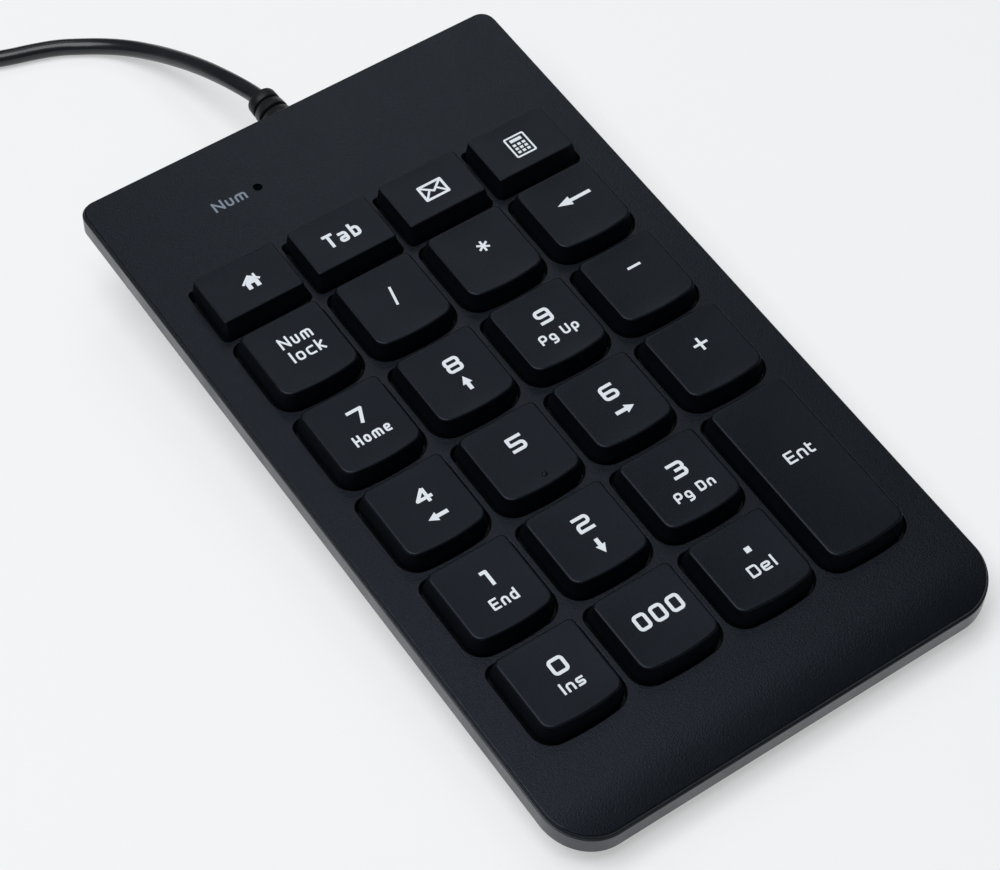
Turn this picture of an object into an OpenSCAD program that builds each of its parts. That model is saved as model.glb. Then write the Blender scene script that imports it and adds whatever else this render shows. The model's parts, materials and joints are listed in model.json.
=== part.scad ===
// Numeric keypad: 23 keys in a wedge-shaped case, with a coiled USB lead.
// Millimetres. The case stands on z = 0 and is centred on the origin, with its rear towards +y.
// The deck is the flat top surface of the case, which slopes down to the front. What the case holds
// is laid out in the deck's own coordinates: x across, y towards the rear, z out of the deck.

/* [Case] */
// Width of the case
body_w = 87.8; // [87.6:0.1:90]
// Length of the case along the deck
body_l = 151.6; // [151.4:0.1:154]
// Slope of the deck in degrees
tilt = 4; // [3.8:0.1:4.2]
// Height of the deck's centre above the table
deck_height = 14.8; // [14.8:0.1:16]
// Height of the glossy band round the case
band_h = 3.9; // [3.6:0.1:4]
// Depth by which the deck rolls down at its front edge
front_drop = 1.5; // [1.2:0.1:1.6]
// Length of the rolled front edge
front_roll = 10; // [9:0.5:11]
// Corner radius at the rear
rear_corner = 3; // [2.5:0.1:4]
// Corner radius at the front
front_corner = 9; // [8:0.1:10]

/* [Keys] */
// Distance from one key to the next
pitch = 19; // [18.9:0.05:19.1]
// Height of a key's top above the deck
key_rise = 3.44; // [3.3:0.02:3.8]
// Distance that a key travels
travel = 2.2; // [1.8:0.1:2.2]
// Width of a square key's top
key_top_w = 15.1; // [14.8:0.1:15.4]
// Depth of a square key's top
key_top_d = 15.4; // [15:0.1:15.6]
// Forward bulge of a key's front edge
key_bow = 0.8; // [0.5:0.1:1]
// Width of a small rear-row key's top
small_top_w = 15.9; // [15.6:0.1:16.1]
// Depth of a small rear-row key's top
small_top_d = 10.6; // [10.4:0.1:10.8]

/* [Cord] */
// Diameter of the cord
cord_d = 3.2; // [3.2:0.1:3.4]
// Radius of the coil at the middle of its turns
coil_mid_r = 19.2; // [19:0.1:19.4]

/* [Hidden] */
$fn = 48;
eps = 0.05;

// The deck drops along an arc that is tangent to it
roll_r = (front_roll * front_roll + front_drop * front_drop) / (2 * front_drop);
roll_start = -body_l / 2 + front_roll;

// Top case
reveal_inset = 0.35;
flange_t = 0.55;
deck_t = 1.6;
well_depth = 3;
lip_inset = 2.3;
lip_t = 1.4;
lip_depth = 3.4;

// Bottom case
band_top = 0.7;
band_step = 1;
band_wall = 2;
shell_inset = 0.8;
shell_t = 1.6;
floor_z = 1.2;
floor_half_w = 35.9;
floor_front_y = -67.5;
floor_rear_y = 71.9;
exit_block = [12, 3.2, 9];
exit_face_y = 75.8;

// Where the edges of the case lie fore and aft once the deck is tilted, and the shift that centres them
rear_edge_y = body_l / 2 * cos(tilt) + (band_top + band_h) * sin(tilt);
front_edge_y = -body_l / 2 * cos(tilt) + (front_drop + band_top) * sin(tilt);
centre_shift = -(rear_edge_y + front_edge_y) / 2;

// Key wells and keycaps
well_w = 17.8;
well_d = 17.9;
small_well_d = 12.8;
key_gap = 0.45;
skirt_z = -0.6;
cap_t = 1.2;
stem_r = 2.5;
collar_r = 3.2;
collar_z = -2.55;
stem_end_z = -3.55;
running_gap = 0.1;
col_x = [for (c = [0:3]) (c - 1.5) * pitch];
row_1_y = 25.8;
small_row_y = 42.2;
small_top_shift = 0.5;
enter_y = row_1_y - 3.5 * pitch;
function row_y(r) = row_1_y - (r - 1) * pitch;

// Name, column, row and kind of each key; row 0 holds the small keys
KEYS = [
    ["key_home", 0, 0, "small"], ["key_tab", 1, 0, "small"],
    ["key_mail", 2, 0, "small"], ["key_calculator", 3, 0, "small"],
    ["key_num_lock", 0, 1, "square"], ["key_divide", 1, 1, "square"],
    ["key_multiply", 2, 1, "square"], ["key_backspace", 3, 1, "square"],
    ["key_7", 0, 2, "square"], ["key_8", 1, 2, "square"],
    ["key_9", 2, 2, "square"], ["key_minus", 3, 2, "square"],
    ["key_4", 0, 3, "square"], ["key_5", 1, 3, "homing"],
    ["key_6", 2, 3, "square"], ["key_plus", 3, 3, "square"],
    ["key_1", 0, 4, "square"], ["key_2", 1, 4, "square"], ["key_3", 2, 4, "square"],
    ["key_enter", 3, 4.5, "tall"],
    ["key_0", 0, 5, "square"], ["key_triple_zero", 1, 5, "square"], ["key_decimal", 2, 5, "square"]
];
function key_y(k) = k[2] == 0 ? small_row_y : row_y(k[2]);
function key_extra(k) = k[3] == "tall" ? pitch : 0;

// Layers under the keys, from the key frame down to the steel plate
frame_t = 1;
frame_z = -well_depth - frame_t;
sleeve_top_z = -1;
sleeve_r = 3.6;
sleeve_foot_r = 4.4;
sheet_z = -6.2;
sheet_t = 0.4;
film_t = 0.15;
plate_t = 0.6;
membrane_z = sheet_z - sheet_t;
plate_z = membrane_z - 3 * film_t;
sheet_half_w = 33.6;
sheet_front_y = -56;
sheet_rear_y = 48.5;
dome_r = 4.2;
frame_half_w = 38.6;
frame_front_y = -60.3;
frame_rear_y = 49.8;

// Enter key's stabiliser wire
wire_r = 0.5;
arm = 6.5;
arm_rise = asin(travel / 2 / arm);
wire_pivot = [col_x[3] + 0.9, enter_y, -1.5];
wire_bar_x = wire_pivot[0] - arm * cos(arm_rise);
wire_bar_z = wire_pivot[2] + travel / 2;
wire_half = 12.6;
wire_bend = 1;
wire_tail = 2.4;

// Controller board and what presses the membrane's tail onto it
board = [52, 16.5, 1.6];
board_front_y = 52.5;
board_z = plate_z;
clamp_y = 55;
clamp_half_w = 24;
clamp_top_z = -4;
rubber_top_z = -5.6;
clamp_screw_x = 21;
lamp_xy = [-14.6, 62.3];
lamp_r = 1.5;
lamp_top_z = -1.8;
lamp_hole_r = 0.8;
socket = [10, 4, 4];
socket_y = 65.5;
lead_r = 0.35;
lead_gap = 0.75;

// Fasteners. Each case screw has a place and the height where boss and pillar meet.
CASE_SCREWS = [
    [-28, -63.8, -6], [28, -63.8, -6], [-19, -2.7, -9], [19, -2.7, -9], [-30, 66.5, -9], [30, 66.5, -9]
];
boss_r = 2.4;
pillar_r = 3.4;
case_screw_r = 1.1;
case_head_r = 2.3;
case_head_t = 1.4;
case_shelf = 1.2;
case_bite = 3.9;
FRAME_SCREWS = [for (x = [-pitch, 0, pitch], y = [row_1_y - pitch / 2, row_y(4) - pitch / 2]) [x, y]];
post_r = 1.9;
frame_screw_r = 0.8;
frame_head_r = 1.7;
frame_head_t = 0.9;

// Feet and label
foot_r = 4.5;
foot_t = 1.6;
foot_sunk = 0.4;
FEET = [for (x = [-26, 26], y = [-55, 56]) [x, y]];
label_size = [40, 22, 0.15];

// Strain relief, on the axis where the cord leaves the rear wall
cord_r = cord_d / 2;
relief_z = -7.7;
relief_end_y = 85.4;
relief_inner_y = 71;
relief_bore_r = 3.1;
relief_collar_r = 4.4;
relief_collar_y = exit_face_y - exit_block[1];

// Cord route on the table, as far as the coil, and from the coil to the plug
exit_z = deck_height + relief_end_y * sin(tilt) + relief_z * cos(tilt);
exit_y = relief_end_y * cos(tilt) - relief_z * sin(tilt) + centre_shift;
LEAD = [
    [0, exit_y, exit_z], [-0.3, 88, 12.7], [-1.2, 92.4, 12.1], [-2.1, 97.3, 10.9], [-3.1, 102.6, 9.3],
    [-4.7, 109.6, 6.8], [-6.7, 116.1, 4.4], [-9.4, 121.4, 2.8], [-12.6, 125.3, 1.9], [-16, 128, 1.6],
    [-19.5, 130.1, 1.6], [-23.9, 131.9, 1.6], [-28.5, 133.4, 1.6], [-36, 136.4, 1.6], [-45, 141, 1.7],
    [-54, 146.2, 1.9], [-61, 150, 2.2]
];
coil_at = [-75, 132];
coil_h = 4 * cord_d;
coil_w = 3 * cord_d;
tie_t = 0.6;
tie_w = 4;
tie_angle = 250;
TAIL = [
    [-97.4, 128, 11.8], [-97.8, 121, 11.6], [-98.4, 114, 9.8], [-98.9, 107, 6.7], [-99, 101, 4.6],
    [-99, 96, 4], [-99, 91, 4]
];

// USB plug, lying on the table with its axis along y
plug_x = -99;
plug_z = 4;
plug_rear_y = 90;
plug_body = [15.6, 24, 8];
plug_neck_r = 2.9;
plug_neck = 6;
shell_size = [12, 11.9, 4.5];
shell_wall = 0.3;
tongue_t = 1.9;

// ---- Outlines and shared shapes ----

function arc(cx, cy, r, from, to, n) =
    [for (i = [0:n]) let (a = from + (to - from) * i / n) [cx + r * cos(a), cy + r * sin(a)]];

function round_rect(w, d, rear_r, front_r, n = 5) = concat(
    arc(w / 2 - rear_r, d / 2 - rear_r, rear_r, 0, 90, n),
    arc(rear_r - w / 2, d / 2 - rear_r, rear_r, 90, 180, n),
    arc(front_r - w / 2, front_r - d / 2, front_r, 180, 270, n),
    arc(w / 2 - front_r, front_r - d / 2, front_r, 270, 360, n)
);

// A rounded rectangle whose front edge is one shallow arc, tangent to its corners
function bowed_rect(w, d, rear_r, front_r, bow, n = 4) =
    let (
        bow_r = (w * w / 4 + bow * bow) / (2 * bow),
        a = asin((w / 2 - front_r) / (bow_r - front_r)),
        cy = bow_r - d / 2,
        corner_y = cy - (bow_r - front_r) * cos(a),
        bow_arc = arc(0, cy, bow_r, 270 - a, 270 + a, n)
    )
    concat(
        arc(w / 2 - rear_r, d / 2 - rear_r, rear_r, 0, 90, n),
        arc(rear_r - w / 2, d / 2 - rear_r, rear_r, 90, 180, n),
        arc(front_r - w / 2, corner_y, front_r, 180, 270 - a, n),
        [for (i = [1:n - 1]) bow_arc[i]],
        arc(w / 2 - front_r, corner_y, front_r, 270 + a, 360, n)
    );

// Height of the deck's surface at y
function deck_at(y) =
    y < roll_start ? sqrt(roll_r * roll_r - (roll_start - y) * (roll_start - y)) - roll_r : 0;

module deck() {
    translate([0, centre_shift, deck_height]) rotate([tilt, 0, 0]) children();
}

module prism(points, z_low, z_high) {
    translate([0, 0, z_low]) linear_extrude(z_high - z_low) polygon(points);
}

module plan(inset, z_low, z_high) {
    prism(
        round_rect(body_w - 2 * inset, body_l - 2 * inset, rear_corner - min(inset, 2.4),
            front_corner - inset),
        z_low, z_high
    );
}

// A layer of the case between two depths below the deck, following the rolled front edge
module layer(z_low, z_high, inset) {
    steps = [for (i = [0:8]) -body_l / 2 + front_roll * i / 8];
    ends = [body_l / 2];
    ys = concat(steps, ends);
    top = [for (y = ys) [y, deck_at(y) + z_high]];
    low = [for (i = [len(ys) - 1:-1:0]) [ys[i], deck_at(ys[i]) + z_low]];
    intersection() {
        rotate([90, 0, 90]) linear_extrude(body_w + 2, center = true) polygon(concat(top, low));
        plan(inset, -20, 5);
    }
}

module well_cut(k) {
    translate([col_x[k[1]], key_y(k), 0])
        if (k[3] == "small")
            prism(round_rect(well_w, small_well_d, 0.8, 1.2), -well_depth - 1, 1);
        else
            prism(bowed_rect(well_w, well_d + key_extra(k), 2, 4, key_bow), -well_depth - 1, 1);
}

module drill(x, y, r, z_low, z_high) {
    translate([x, y, z_low]) cylinder(h = z_high - z_low, r = r);
}

function mid_screws() = [for (s = CASE_SCREWS) if (abs(s[1]) < 10) s];

// ---- Case ----

module top_case() {
    color("#1b1d22") deck() difference() {
        union() {
            layer(-flange_t, 0, reveal_inset);
            layer(-deck_t, -flange_t / 2, band_wall + 0.1);
            difference() {
                layer(-lip_depth, -deck_t + eps, lip_inset);
                layer(-lip_depth - 1, -deck_t + 2 * eps, lip_inset + lip_t);
            }
            translate([-frame_half_w, frame_front_y, -well_depth])
                cube([2 * frame_half_w, frame_rear_y - frame_front_y, well_depth - deck_t + eps]);
            for (s = CASE_SCREWS) drill(s[0], s[1], boss_r, s[2], -deck_t + eps);
            for (s = [-1, 1]) drill(s * clamp_screw_x, clamp_y, boss_r, clamp_top_z, -deck_t + eps);
        }
        for (k = KEYS) well_cut(k);
        drill(lamp_xy[0], lamp_xy[1], lamp_hole_r, -3, 1);
        for (s = CASE_SCREWS) drill(s[0], s[1], case_screw_r, s[2] - 1, s[2] + case_bite + 0.2);
        for (s = [-1, 1])
            drill(s * clamp_screw_x, clamp_y, frame_screw_r, clamp_top_z - 1, -2);
    }
}

function floor_outline(inset) = [
    for (p = round_rect(
        2 * (floor_half_w - inset), floor_rear_y - floor_front_y - 2 * inset, 5 - inset, 8 - inset
    )) [p[0], p[1] + (floor_rear_y + floor_front_y) / 2]
];

// Height in deck coordinates of the middle of the floor
function floor_mid(y) = (floor_z + shell_t / 2 - deck_height - y * sin(tilt)) / cos(tilt);

module shell_body() {
    hull() {
        deck() plan(shell_inset, -band_h - shell_inset, -band_h - shell_inset + 0.2);
        prism(floor_outline(0), floor_z, floor_z + 0.1);
    }
}

module shell_hollow() {
    hull() {
        deck() plan(shell_inset + shell_t, -lip_depth - 0.3, -lip_depth - 0.1);
        prism(floor_outline(shell_t + 0.2), floor_z + shell_t, floor_z + shell_t + 0.1);
    }
    deck() layer(-lip_depth - 0.2, 2, band_wall);
}

module bottom_case() {
    color("#26282d") difference() {
        union() {
            difference() {
                union() {
                    shell_body();
                    deck() layer(-band_top - band_h, -band_top, 0);
                    deck() layer(-2 * band_top, -flange_t, band_step);
                }
                shell_hollow();
            }
            deck() for (s = CASE_SCREWS)
                drill(s[0], s[1], pillar_r, floor_mid(s[1]), s[2]);
            deck() translate([-exit_block[0] / 2, exit_face_y - exit_block[1], relief_z - exit_block[2] / 2])
                cube(exit_block);
        }
        deck() for (s = CASE_SCREWS) {
            drill(s[0], s[1], case_screw_r + 0.2, s[2] - case_shelf - 1, s[2] + 1);
            drill(s[0], s[1], case_head_r + 0.3, -20, s[2] - case_shelf);
        }
        deck() translate([0, exit_face_y + 1, relief_z]) rotate([90, 0, 0]) cylinder(h = 8, r = relief_bore_r);
        deck() translate([0, relief_collar_y, relief_z]) rotate([90, 0, 0])
            cylinder(h = 4, r = relief_collar_r + 0.1);
        for (f = FEET) drill(f[0], f[1], foot_r, 0, floor_z + foot_sunk);
    }
}

module key_frame() {
    color("#3a3c40") deck() difference() {
        union() {
            translate([-frame_half_w, frame_front_y, frame_z])
                cube([2 * frame_half_w, frame_rear_y - frame_front_y, frame_t]);
            for (k = KEYS) {
                drill(col_x[k[1]], key_y(k), sleeve_foot_r, frame_z, collar_z + running_gap);
                drill(col_x[k[1]], key_y(k), sleeve_r, frame_z, sleeve_top_z);
            }
            for (p = FRAME_SCREWS) drill(p[0], p[1], post_r, sheet_z, frame_z + eps);
            difference() {
                translate([-sheet_half_w - 0.8, sheet_front_y - 0.8, sheet_z])
                    cube([2 * sheet_half_w + 1.6, sheet_rear_y - sheet_front_y + 1.6, frame_z - sheet_z + eps]);
                translate([-sheet_half_w + 0.6, sheet_front_y + 0.6, sheet_z - 1])
                    cube([2 * sheet_half_w - 1.2, sheet_rear_y - sheet_front_y - 1.2, 10]);
            }
            for (s = [-1, 1])
                translate([wire_pivot[0] - 1.2, enter_y + s * (wire_half + 1.7) - 0.6, frame_z + eps])
                    cube([2.4, 1.2, wire_pivot[2] + 1 - frame_z - eps]);
        }
        for (k = KEYS) {
            drill(col_x[k[1]], key_y(k), stem_r + running_gap, frame_z - 1, 0);
            drill(col_x[k[1]], key_y(k), collar_r + 0.15, frame_z - 1, collar_z + running_gap);
        }
        for (p = FRAME_SCREWS) drill(p[0], p[1], frame_screw_r, sheet_z - 1, sheet_z + 2);
        for (s = mid_screws()) drill(s[0], s[1], boss_r + 0.1, frame_z - 1, 0);
        translate([0, enter_y + 20, wire_pivot[2]]) rotate([90, 0, 0])
            translate([wire_pivot[0], 0, 0]) cylinder(h = 40, r = wire_r + 0.08);
        translate([wire_bar_x - 1, enter_y - wire_half - 1, -well_depth - 0.5])
            cube([2, 2 * wire_half + 2, 1]);
        for (s = [-1, 1]) {
            translate([wire_bar_x - 1, enter_y + s * wire_half - 0.9, -well_depth - 0.5])
                cube([arm - 1.5, 1.8, 1]);
            translate([wire_bar_x - 1.4, enter_y + s * 9 - 1.2, frame_z - 1]) cube([2.8, 2.4, 3]);
        }
    }
}

// ---- Keys ----

module cap_shell(base, top, base_in, top_in, shift) {
    difference() {
        hull() {
            prism(base, skirt_z, 0);
            translate([0, shift, 0]) prism(top, key_rise - 0.1, key_rise);
        }
        hull() {
            prism(base_in, skirt_z - 1, 0);
            translate([0, shift, 0]) prism(top_in, key_rise - cap_t - 0.1, key_rise - cap_t);
        }
    }
}

module cap_stem() {
    drill(0, 0, stem_r, collar_z - eps, key_rise - cap_t + eps);
    drill(0, 0, collar_r, stem_end_z, collar_z);
}

module square_cap(extra) {
    base_w = well_w - 2 * key_gap;
    base_d = well_d - 2 * key_gap + extra;
    top_d = key_top_d + extra;
    cap_shell(
        bowed_rect(base_w, base_d, 1.6, 3.6, key_bow),
        bowed_rect(key_top_w, top_d, 1, 2, key_bow),
        bowed_rect(base_w - 2 * cap_t, base_d - 2 * cap_t, 0.8, 2.4, key_bow),
        bowed_rect(key_top_w - 2 * cap_t, top_d - 2 * cap_t, 0.5, 1, key_bow),
        0
    );
}

module small_cap() {
    base_w = well_w - 2 * key_gap;
    base_d = small_well_d - 2 * key_gap;
    cap_shell(
        round_rect(base_w, base_d, 0.6, 0.9, 3),
        round_rect(small_top_w, small_top_d, 0.4, 0.4, 3),
        round_rect(base_w - 2 * cap_t, base_d - 2 * cap_t, 0.3, 0.3, 3),
        round_rect(small_top_w - 2 * cap_t, small_top_d - 2 * cap_t, 0.3, 0.3, 3),
        small_top_shift
    );
}

// Two hooks under the enter key hold the stabiliser's bar in slots
module wire_hooks() {
    for (s = [-1, 1]) translate([wire_bar_x - col_x[3], s * 9, 0]) difference() {
        translate([-1, -0.7, wire_bar_z - 0.8]) cube([2, 1.4, key_rise - cap_t - wire_bar_z + 0.8 + eps]);
        translate([-0.65, -1, wire_bar_z - 0.55]) cube([1.3, 2, 1.1]);
    }
}

module keycap(k) {
    color("#2a2d35") deck() translate([col_x[k[1]], key_y(k), 0]) {
        if (k[3] == "small") small_cap();
        else square_cap(key_extra(k));
        cap_stem();
        if (k[3] == "tall") wire_hooks();
        if (k[3] == "homing") drill(0.8, -5.6, 0.5, key_rise - 0.2, key_rise + 0.25);
    }
}

// A U of wire lying in one plane: the bar, a leg to each side's pivot, and the ends that turn in the clips
module enter_stabiliser() {
    color("silver") deck() translate([wire_bar_x, enter_y, wire_bar_z]) rotate([0, arm_rise, 0])
        for (side = [0, 1]) mirror([0, side, 0]) {
            rotate([-90, 0, 0]) cylinder(h = wire_half - wire_bend, r = wire_r);
            translate([wire_bend, wire_half - wire_bend, 0]) rotate([0, 0, 90])
                rotate_extrude(angle = 90) translate([wire_bend, 0]) circle(r = wire_r);
            translate([wire_bend, wire_half, 0]) rotate([0, 90, 0])
                cylinder(h = arm - 2 * wire_bend, r = wire_r);
            translate([arm - wire_bend, wire_half + wire_bend, 0]) rotate([0, 0, -90])
                rotate_extrude(angle = 90) translate([wire_bend, 0]) circle(r = wire_r);
            translate([arm, wire_half + wire_bend, 0]) rotate([-90, 0, 0])
                cylinder(h = wire_tail - wire_bend, r = wire_r);
        }
}

// ---- Switch layers ----

module sheet_plate(z_low, t) {
    difference() {
        translate([-sheet_half_w, sheet_front_y, z_low])
            cube([2 * sheet_half_w, sheet_rear_y - sheet_front_y, t]);
        for (p = FRAME_SCREWS) drill(p[0], p[1], frame_screw_r + 0.2, z_low - 1, z_low + t + 1);
        for (s = mid_screws()) drill(s[0], s[1], boss_r + 0.3, z_low - 1, z_low + t + 1);
    }
}

module dome() {
    dome_h = stem_end_z - sheet_z - eps;
    rotate_extrude() polygon([
        [0, dome_h - 0.8], [1.7, dome_h - 0.8], [3.4, 0], [dome_r, 0], [dome_r, 0.3],
        [2.4, dome_h - 0.6], [2.4, dome_h], [0, dome_h]
    ]);
}

module dome_sheet() {
    color("#c9ced2") deck() {
        difference() {
            sheet_plate(membrane_z, sheet_t);
            for (k = KEYS) drill(col_x[k[1]], key_y(k), 3.3, membrane_z - 1, sheet_z + 1);
        }
        for (k = KEYS) translate([col_x[k[1]], key_y(k), sheet_z]) dome();
    }
}

module membrane_top() {
    color("#b9c6c0") deck() sheet_plate(membrane_z - film_t, film_t);
}

module membrane_spacer() {
    color("#dfe4e4") deck() difference() {
        sheet_plate(membrane_z - 2 * film_t, film_t);
        for (k = KEYS) drill(col_x[k[1]], key_y(k), 3, membrane_z - 1, membrane_z);
    }
}

module membrane_bottom() {
    color("#a8b8b2") deck() {
        sheet_plate(plate_z, film_t);
        translate([-15, sheet_rear_y - eps, plate_z]) cube([30, clamp_y + 2 - sheet_rear_y + eps, film_t]);
    }
}

module backing_plate() {
    color("#9aa0a4") deck() sheet_plate(plate_z - plate_t, plate_t);
}

// ---- Electronics ----

module controller_board() {
    color("#27613a") deck() difference() {
        translate([-board[0] / 2, board_front_y, board_z - board[2]]) cube(board);
        for (s = [-1, 1])
            drill(s * clamp_screw_x, clamp_y, frame_screw_r + 0.2, board_z - 3, board_z + 1);
    }
}

module controller_chip() {
    color("#15161a") deck() {
        translate([6, 58.8, board_z + 0.2]) cube([10, 4, 1.5]);
        for (i = [0:6], y = [58, 62.8])
            translate([6.8 + i * 1.27, y, board_z]) cube([0.4, 0.8, 0.9]);
    }
}

module board_components() {
    color("#b8a26a") deck() {
        for (p = [[-6, 60], [-2, 60], [-22, 60], [-22, 64], [20, 66], [16, 66]])
            translate([p[0], p[1], board_z]) cube([2, 1.25, 0.6]);
        drill(-9, 65.5, 2, board_z, board_z + 4.5);
    }
}

module num_lock_lamp() {
    color("#d8dcd8") deck() {
        drill(lamp_xy[0], lamp_xy[1], lamp_r + 0.3, board_z, board_z + 1);
        drill(lamp_xy[0], lamp_xy[1], lamp_r, board_z, lamp_top_z - lamp_r);
        translate([lamp_xy[0], lamp_xy[1], lamp_top_z - lamp_r]) sphere(r = lamp_r);
    }
}

module tail_clamp() {
    color("#34363a") deck() difference() {
        union() {
            translate([-clamp_half_w, clamp_y - 2, rubber_top_z])
                cube([2 * clamp_half_w, 4, clamp_top_z - rubber_top_z]);
            for (s = [-1, 1])
                translate([s * clamp_screw_x - 3, clamp_y - 2, board_z]) cube([6, 4, clamp_top_z - board_z]);
        }
        for (s = [-1, 1])
            drill(s * clamp_screw_x, clamp_y, frame_screw_r + 0.2, board_z - 1, clamp_top_z + 1);
    }
}

module clamp_rubber() {
    color("#202020") deck() translate([-16, clamp_y - 1.4, plate_z + film_t])
        cube([32, 2.8, rubber_top_z - plate_z - film_t]);
}

module cable_socket() {
    color("#ece9de") deck() translate([-socket[0] / 2, socket_y - socket[1] / 2, board_z]) cube(socket);
}

module cable_leads() {
    from = [0, relief_inner_y, relief_z];
    run = relief_inner_y - socket_y - socket[1] / 2;
    rise = board_z + socket[2] / 2 + 0.6 - relief_z;
    color("firebrick") deck() for (i = [-1.5:1.5])
        translate(from + [i * lead_gap, 0, 0])
            rotate([90 - atan(rise / run), 0, 0])
                cylinder(h = norm([run, rise]), r = lead_r);
}

// ---- Fasteners, feet and label ----

module screw(head_r, head_t, r, length) {
    difference() {
        translate([0, 0, -head_t]) cylinder(h = head_t, r = head_r);
        for (a = [0, 90])
            rotate([0, 0, a]) translate([-head_r * 0.6, -0.25, -head_t - 1]) cube([head_r * 1.2, 0.5, 1.6]);
    }
    cylinder(h = length, r = r);
}

module case_screws() {
    color("#8d8f92") deck() for (s = CASE_SCREWS)
        translate([s[0], s[1], s[2] - case_shelf])
            screw(case_head_r, case_head_t, case_screw_r, case_shelf + case_bite);
}

module frame_screws() {
    color("#8d8f92") deck() for (p = FRAME_SCREWS)
        translate([p[0], p[1], plate_z - plate_t])
            screw(frame_head_r, frame_head_t, frame_screw_r, sheet_z - plate_z + plate_t + 1.8);
}

module clamp_screws() {
    color("#8d8f92") deck() for (s = [-1, 1])
        translate([s * clamp_screw_x, clamp_y, board_z - board[2]])
            screw(frame_head_r, frame_head_t, frame_screw_r, clamp_top_z - board_z + board[2] + 1.8);
}

module rubber_feet() {
    color("#17181a") for (f = FEET) drill(f[0], f[1], foot_r, 0, foot_t);
}

module rating_label() {
    color("#c8c9c9") translate([-label_size[0] / 2, 0, floor_z - label_size[2]]) cube(label_size);
}

// ---- Cord ----

module strain_relief() {
    groove_r = 2.3;
    grooves = [77.9, 80.2, 82.6];
    outer = [for (g = grooves, i = [0:3])
        let (y = g + [0, 0, 0.6, 0.6][i], taper = 3.5 - (y - 76) * 0.08)
        [(i == 0 || i == 3) ? taper : groove_r, y]
    ];
    color("#1d1f23") deck() translate([0, 0, relief_z]) rotate([-90, 0, 0]) rotate_extrude() polygon(concat(
        [[cord_r, 70.6], [relief_collar_r, 70.6], [relief_collar_r, relief_collar_y],
            [relief_bore_r, relief_collar_y], [relief_bore_r, exit_face_y], [3.7, exit_face_y],
            [3.7, exit_face_y + 0.6], [3.5, exit_face_y + 0.6]],
        outer,
        [[2.85, relief_end_y - 0.3], [2.6, relief_end_y], [cord_r, relief_end_y]]
    ));
}

module cord_inner_end() {
    color("#202226") deck() translate([0, relief_inner_y - 1, relief_z]) rotate([-90, 0, 0])
        cylinder(h = relief_end_y - relief_inner_y + 1, r = cord_r);
}

// A tube of eight sides along a list of points
module tube(route, r) {
    sides = 8;
    last = len(route) - 1;
    rings = [for (i = [0:last])
        let (
            t = route[min(i + 1, last)] - route[max(i - 1, 0)],
            side = cross(t, [0, 0, 1]) / norm(cross(t, [0, 0, 1])),
            up = cross(side, t) / norm(t)
        )
        [for (s = [0:sides - 1]) let (a = (s + 0.5) * 360 / sides) route[i] + r * (cos(a) * side + sin(a) * up)]
    ];
    points = [for (ring = rings, p = ring) p];
    walls = [for (i = [0:last - 1], s = [0:sides - 1])
        let (n = (s + 1) % sides)
        [i * sides + s, i * sides + n, (i + 1) * sides + n, (i + 1) * sides + s]
    ];
    caps = [[for (s = [sides - 1:-1:0]) s], [for (s = [0:sides - 1]) last * sides + s]];
    polyhedron(points, concat(walls, caps));
}

module cord_lead() {
    color("#202226") tube(LEAD, cord_r);
}

module coil_ring() {
    translate([coil_at[0], coil_at[1], tie_t]) rotate_extrude($fn = 96)
        translate([coil_mid_r, coil_h / 2]) polygon(round_rect(coil_w, coil_h, cord_r, cord_r, 3));
}

module cord_coil() {
    color("#202226") coil_ring();
}

module cord_tail() {
    color("#202226") tube(TAIL, cord_r);
}

module cable_tie() {
    color("#101114") difference() {
        translate([coil_at[0], coil_at[1], 0]) rotate([0, 0, tie_angle])
            translate([coil_mid_r - coil_w / 2 - tie_t, -tie_w / 2, 0])
                cube([coil_w + 2 * tie_t, tie_w, coil_h + 2 * tie_t]);
        coil_ring();
    }
}

module plug_overmould() {
    color("#1b1d21") translate([plug_x, plug_rear_y, plug_z]) rotate([90, 0, 0]) difference() {
        union() {
            prism(round_rect(plug_body[0], plug_body[2], 2.5, 2.5, 5), 0, plug_body[1]);
            translate([0, 0, -plug_neck]) cylinder(h = plug_neck + 1, r1 = cord_r + 0.7, r2 = plug_neck_r);
        }
        translate([0, 0, -plug_neck - 1]) cylinder(h = plug_neck + 3, r = cord_r);
        translate([0, 0, plug_body[1] - 2])
            prism(round_rect(shell_size[0], shell_size[2], 0.4, 0.4, 3), 0, 3);
    }
}

module plug_shell() {
    color("#c3c6c9") translate([plug_x, plug_rear_y - plug_body[1] + 2, plug_z]) rotate([90, 0, 0])
        difference() {
            prism(round_rect(shell_size[0], shell_size[2], 0.4, 0.4, 3), 0, shell_size[1] + 2);
            prism(
                round_rect(shell_size[0] - 2 * shell_wall, shell_size[2] - 2 * shell_wall, 0.2, 0.2, 3),
                -1, shell_size[1] + 3
            );
            for (x = [-2.6, 2.6], z = [-2, 2])
                translate([x, z, shell_size[1] - 3.5]) cube([2, 2, 2.2], center = true);
        }
}

module plug_insulator() {
    low = -shell_size[2] / 2 + shell_wall;
    color("#e9e9e6") translate([plug_x, plug_rear_y - plug_body[1] + 2, plug_z]) rotate([90, 0, 0])
        translate([-5.65, low, 0]) cube([11.3, tongue_t, shell_size[1] + 1.6]);
}

module plug_contacts() {
    top = -shell_size[2] / 2 + shell_wall + tongue_t;
    color("gold") translate([plug_x, plug_rear_y - plug_body[1] + 2, plug_z]) rotate([90, 0, 0])
        for (x = [-3.5, -1, 1, 3.5])
            translate([x - 0.5, top, 3]) cube([1, 0.2, shell_size[1] - 2.5]);
}

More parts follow.
